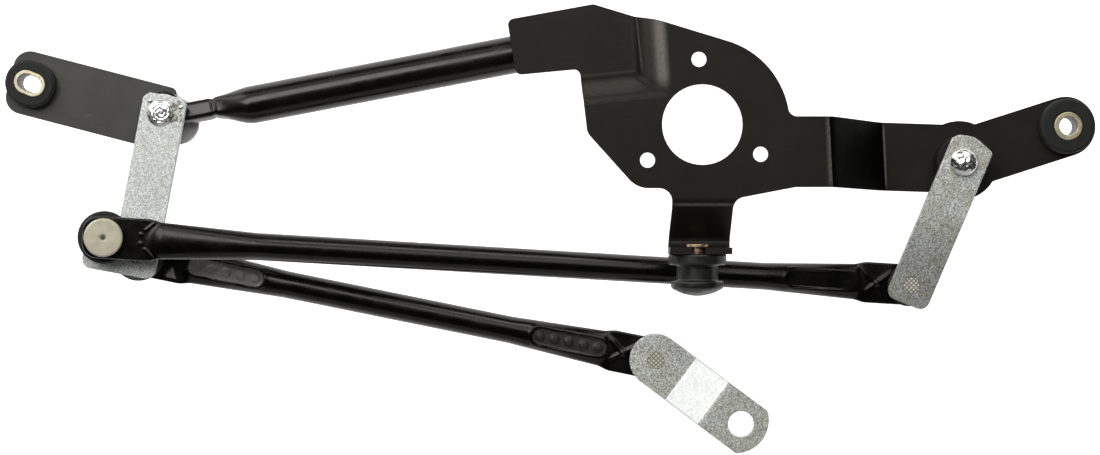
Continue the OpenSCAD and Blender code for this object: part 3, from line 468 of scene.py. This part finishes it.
# Finish of each node
ROD_ENDS = [f"{rod}_rod_{end}" for rod in ("long", "short") for end in ("left", "right")]
NODE_FINISH = {
    "bracket": ["mounting_bracket", "tube_welds", "right_pivot_housing"],
    "plate": ["left_plate"],
    "tube": ["frame_tube"],
    "zinc_left": ["left_lever", "left_pivot_shaft", "front_ball_stud", "rear_ball_stud"],
    "zinc_right": ["right_lever", "right_pivot_shaft", "right_ball_stud"],
    "zinc_crank": ["motor_crank", "crank_ball_stud"],
    "steel": ["left_thrust_washer", "right_thrust_washer", "left_circlip", "right_circlip"],
    "casting": ["left_pivot_housing"],
    "socket": [f"{end}_socket" for end in ROD_ENDS],
    "sleek_rubber": ["locator_grommet"],
    "rubber": ["left_grommet", "right_grommet", *(f"{end}_boot" for end in ROD_ENDS)],
    "chromate": ["left_sleeve"],
    "olive_chromate": ["right_sleeve"],
    "brass": ["locator_stud"],
    "bronze": ["left_bushes", "right_bushes"],
}

# Rounding of nodes' edges, in millimetres
EDGE_ROUND = {
    "mounting_bracket": 0.45,
    "left_plate": 0.45,
    "left_lever": 0.4,
    "right_lever": 0.4,
    "motor_crank": 0.4,
    "left_grommet": 1.2,
    "right_grommet": 1.0,
    "locator_grommet": 0.9,
    "left_sleeve": 0.35,
    "right_sleeve": 0.35,
    "locator_stud": 0.4,
    "left_pivot_housing": 0.6,
    "right_pivot_housing": 0.6,
    "long_rod_left_socket": 0.4,
}
EDGE_SEGMENTS = 3
EDGE_ANGLE = math.radians(38)
SMOOTH_ANGLE = math.radians(28)
FLAT_ANGLE = math.radians(0.6)
WELD_REACH = 0.001 * MM


def smooth_shading(mesh, angle=SMOOTH_ANGLE):
    """Smooth faces, with edges sharper than the angle kept sharp."""
    mesh.polygons.foreach_set("use_smooth", [True] * len(mesh.polygons))
    made = bmesh.new()
    made.from_mesh(mesh)
    sharp = [len(e.link_faces) != 2 or e.calc_face_angle(0) > angle for e in made.edges]
    made.free()
    attribute = mesh.attributes.get("sharp_edge") or mesh.attributes.new("sharp_edge", "BOOLEAN", "EDGE")
    attribute.data.foreach_set("value", sharp)


def dress_node(name, finish):
    """Gives a node its finish, clean flat faces and rounded edges."""
    node = nodes[name]
    node.data.materials.clear()
    node.data.materials.append(finishes[finish])
    weld = node.modifiers.new("weld", "WELD")
    weld.merge_threshold = WELD_REACH
    flat = node.modifiers.new("flat_faces", "DECIMATE")
    flat.decimate_type = "DISSOLVE"
    flat.angle_limit = FLAT_ANGLE
    flat.delimit = {"NORMAL", "MATERIAL"}
    if name in EDGE_ROUND:
        bevel = node.modifiers.new("edges", "BEVEL")
        bevel.width = EDGE_ROUND[name] * MM
        bevel.segments = EDGE_SEGMENTS
        bevel.limit_method = "ANGLE"
        bevel.angle_limit = EDGE_ANGLE
        bevel.use_clamp_overlap = True
    smooth_shading(node.data)


def dress_nodes():
    for finish, names in NODE_FINISH.items():
        for name in names:
            dress_node(name, finish)


def paint_faces(mesh, finish, chosen):
    """Gives a mesh's faces another finish where chosen(centre, normal) says so."""
    mesh.materials.append(finishes[finish])
    for face in mesh.polygons:
        if chosen(face.center, face.normal):
            face.material_index = len(mesh.materials) - 1


# Faces with a finish of their own: their depths and places, and the lean of their normals
STAKE_SKIN = 0.05 * MM
STAKE_DEPTH = 0.35 * MM
EAR_TOP = -36.8 * MM
BOSS_PAINT_R = 10.6 * MM
LEVEL_Z = 0.9
UPRIGHT_Z = 0.5
ARM_RAMP_X = 0.4
ARM_RAMP_Z = 0.1
CRANK_RAMP_X = -0.2
CRANK_RAMP_Z = (0.5, 0.95)


def paint_bores():
    """Painted shade: dark insides of the two sleeves."""
    for name in ("left_sleeve", "right_sleeve"):
        middle = middle_of(name).xy
        paint_faces(
            nodes[name].data, "bore",
            lambda c, n: abs(n.z) < UPRIGHT_Z and n.xy.dot(middle - c.xy) > 0,
        )


def paint_ramps():
    """Painted shade on the arm's ramp, a near-black copy of the bracket's paint, and a painted highlight
    on the crank's ramp, a brighter copy of its zinc.
    """
    low, high = CRANK_RAMP_Z
    bracket, crank = nodes["mounting_bracket"].data, nodes["motor_crank"].data
    # Painted shade on the arm's ramp
    paint_faces(bracket, "ramp_shade", lambda c, n: n.x > ARM_RAMP_X and n.z > ARM_RAMP_Z)
    # Painted highlight on the crank's ramp
    paint_faces(crank, "ramp_highlight_zinc", lambda c, n: n.x < CRANK_RAMP_X and low < n.z < high)


def paint_housing():
    """Black paint on the left housing's boss, and painted light on its ear: a paler copy of the casting
    on its upward faces.
    """
    housing = nodes["left_pivot_housing"].data
    pivot = joints["left_pivot"].xy

    def in_boss(c):
        return (c.xy - pivot).length < BOSS_PAINT_R

    # Painted light on the ear's upward faces
    paint_faces(housing, "casting_painted_light", lambda c, n: n.z > LEVEL_Z and not in_boss(c))
    paint_faces(housing, "tube", lambda c, n: c.z > EAR_TOP and in_boss(c))


def paint_stakes():
    """Pale staked ends of the ball studs, with painted shade in their grooves and on their sides just
    under the top.
    """
    for name in ("rear_ball_stud", "right_ball_stud", "crank_ball_stud"):
        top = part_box(name)[1].z
        # Painted shade within a little of the top
        paint_faces(nodes[name].data, "groove_shade", lambda c, n: c.z > top - STAKE_DEPTH)
        paint_faces(nodes[name].data, "stake", lambda c, n: c.z > top - STAKE_SKIN and n.z > LEVEL_Z)


# Lofted and cut pieces
CUTTER_SIDES = 96


def ease(t):
    """A smooth step from 0 to 1."""
    t = np.clip(t, 0, 1)
    return t * t * (3 - 2 * t)


def new_object(name, mesh, finish, body):
    mesh.materials.append(finishes[finish])
    made = bpy.data.objects.new(name, mesh)
    bpy.context.scene.collection.objects.link(made)
    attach(made, body)
    return made


def loft_mesh(name, rings, frame_matrix):
    """A closed skin over rings of equally many points, in millimetres of a local frame."""
    count = len(rings[0])
    points = [frame_matrix @ (Vector(p) * MM) for ring in rings for p in ring]
    faces = [tuple(range(count))[::-1], tuple(range((len(rings) - 1) * count, len(rings) * count))]
    for i in range(len(rings) - 1):
        for j in range(count):
            a, b = i * count + j, i * count + (j + 1) % count
            faces.append((a, b, b + count, a + count))
    mesh = bpy.data.meshes.new(name)
    mesh.from_pydata(points, [], faces)
    return mesh


def cylinder_cutter(frame_matrix, at, radius, length, along="Z"):
    """A cylinder about a point of a local frame, along its Z or X, in millimetres."""
    made = bmesh.new()
    turned = Matrix.Rotation(math.pi / 2, 4, "Y") if along == "X" else Matrix.Identity(4)
    place = frame_matrix @ Matrix.Translation(Vector(at) * MM) @ turned
    bmesh.ops.create_cone(
        made, cap_ends=True, segments=CUTTER_SIDES, radius1=radius * MM, radius2=radius * MM,
        depth=length * MM, matrix=place,
    )
    mesh = bpy.data.meshes.new("cutter")
    made.to_mesh(mesh)
    made.free()
    cutter = bpy.data.objects.new("cutter", mesh)
    bpy.context.scene.collection.objects.link(cutter)
    return cutter


def cut(mesh, cutters):
    """The mesh less the cutters, which are used up."""
    body = bpy.data.objects.new("body", mesh)
    bpy.context.scene.collection.objects.link(body)
    for cutter in cutters:
        less = body.modifiers.new("less", "BOOLEAN")
        less.operation = "DIFFERENCE"
        less.solver = "EXACT"
        less.object = cutter
    bpy.context.view_layer.update()
    graph = bpy.context.evaluated_depsgraph_get()
    done = bpy.data.meshes.new_from_object(body.evaluated_get(graph))
    done.name = mesh.name
    for spent in [body, *cutters]:
        bpy.data.objects.remove(spent)
    return done


def between(a, b):
    """Frame with its origin at a and its X towards b, and the distance in millimetres."""
    d = b - a
    yaw = math.atan2(d.y, d.x)
    pitch = math.atan2(d.z, math.hypot(d.x, d.y))
    turned = Matrix.Rotation(yaw, 4, "Z") @ Matrix.Rotation(-pitch, 4, "Y")
    return Matrix.Translation(a) @ turned, d.length / MM


# Connecting rods, in millimetres along the rod from the nearer ball
ROD_D = 12.7
ROD_END_W = 19.4
ROD_END_T = 4.0
ROD_OVER = 9.8
ROD_END_R = 7.0
ROD_EDGE_R = 0.8
ROD_SIDE_R = 0.9
ROD_FLAT = 20.0
ROD_CREASE = 27.0
ROD_ROUND = 70.0
SQUEEZE = 1.16
SOCKET_HOLE_R = 7.7
SOCKET_CUT_L = 3 * ROD_D
BALL_R = 6.5

# Crease where the flattened end begins
CREASE_SHARE = 0.62
CREASE_MID = 18.0
CREASE_EDGE = 22.5
CREASE_RUN = 5.0
CREASE_BOW = 1.6

# Stamped pockets: depth, lean across and along the rod, pips on the floor and the floor's finish, a
# paler paint that is painted light
Pocket = namedtuple("Pocket", "depth tilt slope pips finish")
SMOOTH_POCKET = Pocket(1.2, 0.0, 0.0, 0, None)
LEFT_POCKET = Pocket(1.7, 0.07, 0.05, 5, "left_pocket_light")
RIGHT_POCKET = Pocket(1.6, 0.07, 0.0, 5, "right_pocket_light")
POCKET_START = 23.0
POCKET_END = 60.0
POCKET_HALF_W = 4.6
POCKET_LOW = POCKET_START + POCKET_HALF_W
POCKET_HIGH = POCKET_END - POCKET_HALF_W
POCKET_MID = (POCKET_LOW + POCKET_HIGH) / 2
POCKET_WALL = 1.1
RIM_H = 0.28
RIM_OFF = 0.5
RIM_W = 0.8
PIP_R = 2.3
PIP_H = 0.8
PIP_WALL = 0.7

# Crossed ridges on a flat
CROSS_AT = 15.5
CROSS_SLOPE = 0.75
CROSS_H = 0.7
CROSS_W = 1.1
CROSS_REACH = 9.0
CROSS_FADE = 5.0
CROSS_EDGE = 1.5

# Small triangle on a flat: place along and across the rod, and size
FACET = (16.5, -5.0, 2.6)
FACET_TILT = 0.07
FACET_RISE = 0.6
FACET_WALL = 0.4

# Knobs on a flat (place along and across the rod, radius, height) and narrow ridges (two ends each)
KNOBS = [(17.0, 2.4, 1.1, 0.5), (17.0, -1.9, 1.2, 0.6)]
KNOB_WALL = 0.8
SPURS = [((19.1, 4.6), (22.8, 8.0)), ((19.1, -4.2), (23.3, -8.4))]
SPUR_H = 0.4
SPUR_W = 0.5

# Fineness of lofts
RING_POINTS = 128
EDGE_RINGS = 4
FINE_STEP = 0.5
COARSE_STEP = 6.0
LOFT_ANGLE = math.radians(42)


def ring_angles():
    return (np.arange(RING_POINTS) + 0.5) * 2 * math.pi / RING_POINTS


def rod_half_width(s):
    eased = ease((s - ROD_FLAT) / (ROD_CREASE - ROD_FLAT))
    pressed = 1 - (1 - CREASE_SHARE) * eased
    if s > ROD_CREASE:
        pressed = CREASE_SHARE * max(0.0, (ROD_ROUND - s) / (ROD_ROUND - ROD_CREASE))
    half = (ROD_D + (ROD_END_W - ROD_D) * pressed) / 2
    rounding = ROD_END_R - ROD_OVER - s
    if rounding > 0:
        half -= ROD_END_R - math.sqrt(max(0.0, ROD_END_R**2 - rounding**2))
    return half


def round_height(y, half):
    """Upper half of the tube, squeezed lower where it is wide."""
    squeezed = max(ROD_END_T, ROD_D - SQUEEZE * (2 * half - ROD_D)) / 2
    return squeezed * np.sqrt(np.clip(1 - (y / half) ** 2, 0, 1))


def flat_height(s, y, half):
    """Upper half of the flattened end, with rounded edges."""
    r = ROD_END_T / 2
    edge = ROD_EDGE_R - ROD_OVER - s
    if edge > 0:
        r -= ROD_EDGE_R - math.sqrt(max(0.0, ROD_EDGE_R**2 - edge**2))
    inset = half - np.abs(y)
    side = min(ROD_SIDE_R, r)
    return r - side + np.sqrt(np.clip(side**2 - np.clip(side - inset, 0, side) ** 2, 0, None))


def rod_height(s, y, half):
    start = CREASE_MID + (CREASE_EDGE - CREASE_MID) * (np.abs(y) / half) ** CREASE_BOW
    share = ease((s - start) / CREASE_RUN)
    return flat_height(s, y, half) * (1 - share) + round_height(y, half) * share


def knob(distance, radius, height, wall=KNOB_WALL):
    """A small raised disc with soft flanks."""
    return height * (1 - ease((distance - radius + wall) / wall))


def pocket_off(s, y):
    """Distance outside the pocket's outline, less than 0 inside it."""
    return np.hypot(s - min(max(s, POCKET_LOW), POCKET_HIGH), y) - POCKET_HALF_W


def pocket_height(s, y, z, pocket):
    """The surface with a stamped, round-ended pocket pressed in, and a row of pips on its floor."""
    off = pocket_off(s, y)
    inside = 1 - ease((off + POCKET_WALL) / POCKET_WALL)
    level = rod_height(POCKET_MID, np.zeros(1), rod_half_width(POCKET_MID))[0]
    floor = level - pocket.depth - pocket.tilt * y - pocket.slope * (s - POCKET_MID)
    for i in range(pocket.pips):
        place = POCKET_LOW + (POCKET_HIGH - POCKET_LOW) * i / (pocket.pips - 1)
        floor = floor + knob(np.hypot(s - place, y), PIP_R, PIP_H, PIP_WALL)
    rim = RIM_H * np.exp(-(((off - RIM_OFF) / RIM_W) ** 2))
    return (z + rim) * (1 - inside) + np.minimum(z, floor) * inside


def cross_crease(s, y):
    """Two crossing ridges that the flattening tool leaves."""
    ridges = 0
    for side in (-1, 1):
        away = (y - side * CROSS_SLOPE * (s - CROSS_AT)) / math.hypot(1, CROSS_SLOPE)
        ridges = ridges + np.exp(-((away / CROSS_W) ** 2))
    return CROSS_H * ridges * ease((CROSS_REACH - abs(s - CROSS_AT)) / CROSS_FADE)


def facet_inset(s, y, facet):
    """Distance inside a small triangle that points towards +Y."""
    place, across, size = facet
    above = y - across + size
    return np.minimum(above, (2 * size - above) / 2 - abs(s - place))


def corner_facet(s, y, facet):
    """A small raised triangle whose top leans towards +Y."""
    lean = FACET_TILT * (y - facet[1])
    return ease(facet_inset(s, y, facet) / FACET_WALL) * (FACET_RISE - lean)


def spur(s, y, ends):
    """A narrow ridge between two points of the flat."""
    (s0, y0), (s1, y1) = ends
    run = math.hypot(s1 - s0, y1 - y0)
    share = np.clip(((s - s0) * (s1 - s0) + (y - y0) * (y1 - y0)) / run**2, 0, 1)
    away = np.hypot(s - s0 - share * (s1 - s0), y - y0 - share * (y1 - y0))
    return SPUR_H * np.exp(-((away / SPUR_W) ** 2))


def rod_ring(s, style):
    """Outline across the rod, with what the style presses into its upper side."""
    angle = ring_angles()
    half = rod_half_width(s)
    y = half * np.cos(angle)
    z = rod_height(s, y, half)
    top = z.copy()
    if "pocket" in style:
        top = pocket_height(s, y, top, style["pocket"])
    if "cross" in style:
        top = top + cross_crease(s, y) * ease((half - np.abs(y)) / CROSS_EDGE)
    for place, across, radius, height in style.get("knobs", []):
        top = top + knob(np.hypot(s - place, y - across), radius, height)
    if "facet" in style:
        top = top + corner_facet(s, y, style["facet"])
    for ends in style.get("spurs", []):
        top = top + spur(s, y, ends)
    z = np.where(np.sin(angle) > 0, top, -z)
    return np.stack([y, z], axis=1)


def paint_rod(mesh, place, style):
    """Gives the pocket's floor and the small triangle at one end of a rod their own paler paint, painted
    light standing in for the light they catch.
    """
    back = place.inverted()

    def on_floor(c, n):
        spot = back @ c / MM
        return spot.z > 0 and pocket_off(spot.x, spot.y) < -POCKET_WALL / 2

    def on_facet(c, n):
        spot = back @ c / MM
        return spot.z > 0 and facet_inset(spot.x, spot.y, style["facet"]) > 0

    if "pocket" in style and style["pocket"].finish:
        paint_faces(mesh, style["pocket"].finish, on_floor)
    if "facet" in style:
        paint_faces(mesh, "facet", on_facet)


def rod_piece(name, a, b, body, start_style, end_style):
    place, length = between(a, b)
    fine = np.arange(-ROD_OVER, ROD_ROUND, FINE_STEP)
    near_end = np.linspace(-ROD_OVER, ROD_EDGE_R - ROD_OVER, EDGE_RINGS)[:-1]
    own = np.concatenate([near_end, fine[fine > near_end[-1] + FINE_STEP / 2]])
    middle = np.arange(ROD_ROUND, length - ROD_ROUND, COARSE_STEP)
    rings = [[(s, *p) for p in rod_ring(s, start_style)] for s in own]
    rings += [[(s, *p) for p in rod_ring(ROD_ROUND, {})] for s in middle]
    rings += [[(length - s, *p) for p in rod_ring(s, end_style)] for s in own[::-1]]
    mesh = loft_mesh(name, rings, place)
    holes = [cylinder_cutter(place, (x, 0, 0), SOCKET_HOLE_R, SOCKET_CUT_L) for x in (0, length)]
    mesh = cut(mesh, holes)
    smooth_shading(mesh, LOFT_ANGLE)
    rod = new_object(name, mesh, "rod", body)
    far_place = place @ Matrix.Translation((length * MM, 0, 0)) @ Matrix.Scale(-1, 4, (1, 0, 0))
    paint_rod(mesh, place, start_style)
    paint_rod(mesh, far_place, end_style)
    return rod


def right_ball():
    """Middle of the ball on the right lever, where the long rod's right end sits."""
    at = joints["right_pivot"] + joints["long_rod_ball"] - joints["left_pivot"]
    at.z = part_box("right_ball_stud")[0].z + BALL_R * MM
    return at


def make_rods():
    front, rear, crank = joints["long_rod_ball"], joints["short_rod_ball"], joints["crank_ball"]
    long_start = {"knobs": KNOBS, "spurs": SPURS}
    long_end = {"pocket": SMOOTH_POCKET, "cross": True}
    long_rod = rod_piece("long_rod_tube", front, right_ball(), "long_rod", long_start, long_end)
    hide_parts("long_rod")
    short_start = {"pocket": LEFT_POCKET, "facet": FACET}
    short_end = {"pocket": RIGHT_POCKET, "cross": True}
    short_rod = rod_piece("short_rod_tube", rear, crank, "short_rod", short_start, short_end)
    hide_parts("short_rod")


# Frame tube, in millimetres
TUBE_LEFT = (-242.5, 4.1, -29.1)
TUBE_RIGHT = (-45.0, 42.4, -35.38)
TUBE_D = 17.8
TUBE_BORE = 14.8
BORE_PAST = 2
NECK_W = 9.2
NECK_L = 14.6
NECK_BLEND = 19.0
NECK_SHIFT = 1.7
NECK_TURN = math.radians(13)
NECK_POWER = 4.5
NECK_CREASE = 0.55
NECK_CREASE_HALF = 0.9
BOSS_R = 10.2
BOSS_CUT_L = 20 * TUBE_D
PLAIN_RINGS = 12


def tube_ring(s):
    """Squared, turned and off centre at the neck, round further on, with a crease between."""
    rounded = float(ease((s - NECK_L) / NECK_BLEND))
    half = (NECK_W + (TUBE_D - NECK_W) * rounded) / 2
    half -= NECK_CREASE * math.exp(-(((s - NECK_L - NECK_CREASE_HALF) / NECK_CREASE_HALF) ** 2))
    power = 2 / (2 + (NECK_POWER - 2) * (1 - rounded) ** 3)
    angle = ring_angles()
    y = half * np.sign(np.cos(angle)) * np.abs(np.cos(angle)) ** power
    z = half * np.sign(np.sin(angle)) * np.abs(np.sin(angle)) ** power
    turn = NECK_TURN * (1 - rounded)
    across = y * math.cos(turn) + z * math.sin(turn) + NECK_SHIFT * (1 - rounded)
    return [(s, *p) for p in zip(across, z * math.cos(turn) - y * math.sin(turn))]


def make_tube():
    place, length = between(Vector(TUBE_LEFT) * MM, Vector(TUBE_RIGHT) * MM)
    start = NECK_L + NECK_BLEND
    steps = [*np.arange(0, start, FINE_STEP), *np.linspace(start, length, PLAIN_RINGS)]
    mesh = loft_mesh("frame_tube_skin", [tube_ring(s) for s in steps], place)
    pivot = Matrix.Translation(joints["left_pivot"])
    boss = cylinder_cutter(pivot, (0, 0, 0), BOSS_R, BOSS_CUT_L)
    bore_l = length - start + BORE_PAST
    bore = cylinder_cutter(place, (start + bore_l / 2, 0, 0), TUBE_BORE / 2, bore_l, "X")
    mesh = cut(mesh, [boss, bore])
    smooth_shading(mesh, LOFT_ANGLE)
    tube = new_object("frame_tube_skin", mesh, "tube", "frame")
    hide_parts("frame_tube")


# Peened heads of the pivot shafts, in millimetres
HEAD_CIRCLES = 44
HEAD_SPOKES = 120
HEAD_SPREAD = 1.04
HEAD_UNDER = 0.1
HEAD_ANGLE = math.radians(60)

# Uneven height of a head: its size, the layer of the noise and its scale
Uneven = namedtuple("Uneven", "height layer scale")

# Low left head with a spiral ridge
SWIRL_R = 6.4
SWIRL_LEAN = 0.4
SWIRL_TOWARDS = math.radians(215)
SWIRL_H = 1.8
SWIRL_POWER = 3.4
SWIRL_SINK = 0.08
SWIRL_RIDGE = 0.15
SWIRL_PITCH = 1.7
SWIRL_WANDER = Uneven(0.5, 7.0, 0.6)
SWIRL_LUMPS = Uneven(0.26, 7.0, 0.5)
SWIRL_FADE = 4

# Tall right head
DOME_R = 6.6
DOME_SPREAD = 1.03
DOME_H = 4.5
DOME_POWER = 2.3
DOME_LUMPS = Uneven(0.5, 3.0, 0.42)
DOME_DENTS = Uneven(0.12, 9.0, 1.0)
DOME_FADE = 8


def head_mesh(name, at, height, radius):
    """A round head with a flat underside, from its height over radius and angle, in millimetres."""
    points, faces = [Vector((0, 0, height(0.0, 0.0)))], []
    for i in range(1, HEAD_CIRCLES + 1):
        r = radius * HEAD_SPREAD * i / HEAD_CIRCLES
        for j in range(HEAD_SPOKES):
            a = 2 * math.pi * j / HEAD_SPOKES
            points.append(Vector((r * math.cos(a), r * math.sin(a), height(r, a))))
    for j in range(HEAD_SPOKES):
        faces.append((0, 1 + j, 1 + (j + 1) % HEAD_SPOKES))
        for i in range(HEAD_CIRCLES - 1):
            a, b = 1 + i * HEAD_SPOKES + j, 1 + i * HEAD_SPOKES + (j + 1) % HEAD_SPOKES
            faces.append((a, a + HEAD_SPOKES, b + HEAD_SPOKES, b))
    rim = len(points) - HEAD_SPOKES
    points += [Vector((p.x, p.y, -HEAD_UNDER)) for p in points[rim:]]
    for j in range(HEAD_SPOKES):
        a, b = rim + j, rim + (j + 1) % HEAD_SPOKES
        faces.append((a, a + HEAD_SPOKES, b + HEAD_SPOKES, b))
    faces.append(tuple(range(len(points) - 1, len(points) - HEAD_SPOKES - 1, -1)))
    mesh = bpy.data.meshes.new(name)
    mesh.from_pydata([at + p * MM for p in points], [], faces)
    smooth_shading(mesh, HEAD_ANGLE)
    return mesh


def uneven(r, a, kind):
    spot = Vector((r * math.cos(a), r * math.sin(a), kind.layer))
    return kind.height * noise.noise(spot * kind.scale)


def swirled(r, a):
    """A low head stamped by a spinning tool: a spiral ridge and an uneven skirt."""
    share = min(1.0, r / (SWIRL_R + SWIRL_LEAN * math.cos(a - SWIRL_TOWARDS)))
    edge = SWIRL_H * (1 - share**SWIRL_POWER) - SWIRL_SINK
    turns = (r + uneven(r, a, SWIRL_WANDER)) / SWIRL_PITCH
    ridge = SWIRL_RIDGE * math.sin(2 * math.pi * turns - a)
    return edge + (ridge + uneven(r, a, SWIRL_LUMPS)) * (1 - share**SWIRL_FADE)


def domed(r, a):
    """A tall, hammered dome."""
    share = min(1.0, r / (DOME_R * DOME_SPREAD))
    dome = DOME_H * math.sqrt(max(0.0, 1 - share**DOME_POWER))
    lumps = uneven(r, a, DOME_LUMPS) + uneven(r, a, DOME_DENTS)
    return max(0.0, dome + lumps * (1 - share**DOME_FADE))


def make_heads():
    heads = (("left", swirled, "swirl", SWIRL_R + SWIRL_LEAN), ("right", domed, "dome", DOME_R))
    for side, height, finish, radius in heads:
        at = joints[f"{side}_pivot"].copy()
        at.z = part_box(f"{side}_lever")[1].z
        head = head_mesh(f"{side}_peened_head", at, height, radius)
        new_object(f"{side}_peened_head", head, finish, f"{side}_lever")


# Two small raised marks beside the left head, in millimetres
MARKS = [(-255.9, 11.6), (-241.6, 8.6)]
MARK_R = 1.1
MARK_H = 0.55


def mark(r, a):
    return MARK_H * math.sqrt(max(0.0, 1 - min(1.0, r / MARK_R) ** 2))


def make_marks():
    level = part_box("left_lever")[1].z
    for i, (x, y) in enumerate(MARKS):
        mesh = head_mesh(f"left_lever_mark_{i + 1}", Vector((x * MM, y * MM, level)), mark, MARK_R)
        new_object(mesh.name, mesh, "dome", "left_lever")


# Dust boot under the right lever: a ribbed skirt about the ball, narrower than the lever
BOOT_R = 10.2
BOOT_FOOT = 0.6
BOOT_TAPER = 1.8
BOOT_RIB = 0.7
BOOT_RIBS = 3
BOOT_HOLE_R = 5.2
BOOT_GAP = 0.05
BOOT_STEPS = 24
BOOT_SPOKES = 96
BOOT_ANGLE = math.radians(50)


def boot_outline(rise):
    """Half section of the boot, as radii and heights, going once round its wall."""
    outline = [(BOOT_HOLE_R, 0.0), (BOOT_R - BOOT_FOOT, 0.0)]
    for i in range(BOOT_STEPS + 1):
        share = i / BOOT_STEPS
        rib = BOOT_RIB * (0.5 - 0.5 * math.cos(2 * BOOT_RIBS * math.pi * share))
        outline.append((BOOT_R - (BOOT_TAPER * share + rib), share * rise))
    return [*outline, (BOOT_HOLE_R, rise), (BOOT_HOLE_R, rise / 2)]


def make_boot():
    front = joints["long_rod_ball"]
    right = right_ball()
    place, length = between(front, right)
    low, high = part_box("long_rod_right_boot")
    lean = math.atan2(front.z - right.z, (right - front).xy.length)
    rise = (high.z - low.z - (high.x - low.x) * math.sin(lean)) / MM
    base = ROD_END_T / 2 + BOOT_GAP
    turn = [2 * math.pi * j / BOOT_SPOKES for j in range(BOOT_SPOKES)]
    outline = boot_outline(rise)
    rings = [[(length + r * math.cos(a), r * math.sin(a), base + z) for a in turn] for r, z in outline]
    points = [place @ (Vector(p) * MM) for ring in rings for p in ring]
    total = len(rings)
    faces = []
    for i in range(total):
        above = ((i + 1) % total - i) * BOOT_SPOKES
        for j in range(BOOT_SPOKES):
            a, b = i * BOOT_SPOKES + j, i * BOOT_SPOKES + (j + 1) % BOOT_SPOKES
            faces.append((a, b, b + above, a + above))
    mesh = bpy.data.meshes.new("right_ball_boot")
    mesh.from_pydata(points, [], faces)
    smooth_shading(mesh, BOOT_ANGLE)
    boot = new_object("right_ball_boot", mesh, "rubber", "long_rod")
    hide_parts("long_rod_right_boot")


# Stage
FLOOR_GAP = 1 * MM
FLOOR_Z = cad_box[0].z - FLOOR_GAP
FLOOR_SIZE = 12.0
FLOOR_TONE = (0.85, 0.85, 0.85, 1)
FLOOR_ROUGH = 0.9
FLOOR_SPECULAR = 0.1
FLOOR_GLOW = 0.9


def make_floor():
    mesh = bpy.data.meshes.new("floor")
    half = FLOOR_SIZE / 2
    corners = [(x * half, y * half, FLOOR_Z) for x, y in ((-1, -1), (1, -1), (1, 1), (-1, 1))]
    mesh.from_pydata(corners, [], [(0, 1, 2, 3)])
    floor = bpy.data.objects.new("floor", mesh)
    bpy.context.scene.collection.objects.link(floor)
    f = Finish("floor_white", Base_Color=FLOOR_TONE, Roughness=FLOOR_ROUGH)
    f.set(Specular_IOR_Level=FLOOR_SPECULAR)
    path = f.node("ShaderNodeLightPath").outputs
    seen = f.math("MAXIMUM", path["Is Camera Ray"], path["Is Glossy Ray"])
    seen = f.math("MAXIMUM", seen, path["Is Transmission Ray"])
    glow = f.node("ShaderNodeEmission", {"Color": (1, 1, 1, 1), "Strength": FLOOR_GLOW}).outputs[0]
    both = f.node("ShaderNodeAddShader", {0: f.shader.outputs[0], 1: glow}).outputs[0]
    mixed = f.node("ShaderNodeMixShader", {0: seen, 1: f.shader.outputs[0], 2: both}).outputs[0]
    f.tree.links.new(mixed, f.tree.nodes["Material Output"].inputs["Surface"])
    mesh.materials.append(f.material)


# Light: places, aims and sizes of the lamps in metres, and their power in watts
Lamp = namedtuple("Lamp", "name at aim size power")
PART_MIDDLE = (-0.07, -0.03, -0.02)
LAMPS = [
    Lamp("key", (-0.475, 0.50, 1.12), PART_MIDDLE, (0.85, 0.60), 8.6),
    Lamp("key_right", (0.285, 0.50, 1.12), PART_MIDDLE, (0.67, 0.60), 2.6),
    Lamp("back_right", (0.30, 1.30, 0.90), PART_MIDDLE, (0.84, 0.50), 5.6),
    Lamp("back_left", (-0.60, 1.30, 0.85), PART_MIDDLE, (0.90, 0.50), 1.2),
    Lamp("front_wall", (-0.07, -2.2, 0.70), PART_MIDDLE, (3.6, 1.5), 9.0),
    Lamp("low_left", (-0.99, 0.62, 0.37), (0.0, -0.12, -0.02), (0.9, 0.6), 4.6),
]
SKY_STRENGTH = 0.03


def area_lamp(lamp):
    data = bpy.data.lights.new(lamp.name, "AREA")
    data.shape = "RECTANGLE"
    data.size, data.size_y = lamp.size
    data.energy = lamp.power
    made = bpy.data.objects.new(lamp.name, data)
    made.location = lamp.at
    made.rotation_euler = (Vector(lamp.aim) - Vector(lamp.at)).to_track_quat("-Z", "Y").to_euler()
    bpy.context.scene.collection.objects.link(made)


def make_light():
    world = bpy.data.worlds.new("world")
    bpy.context.scene.world = world
    world.use_nodes = True
    sky = world.node_tree.nodes["Background"]
    sky.inputs["Color"].default_value = (1, 1, 1, 1)
    sky.inputs["Strength"].default_value = SKY_STRENGTH
    for lamp in LAMPS:
        area_lamp(lamp)


bpy.context.scene.view_settings.view_transform = "Standard"
make_camera()
make_floor()
make_light()
dress_nodes()
paint_bores()
paint_ramps()
paint_housing()
paint_stakes()
make_tube()
make_rods()
make_boot()
make_heads()
make_marks()
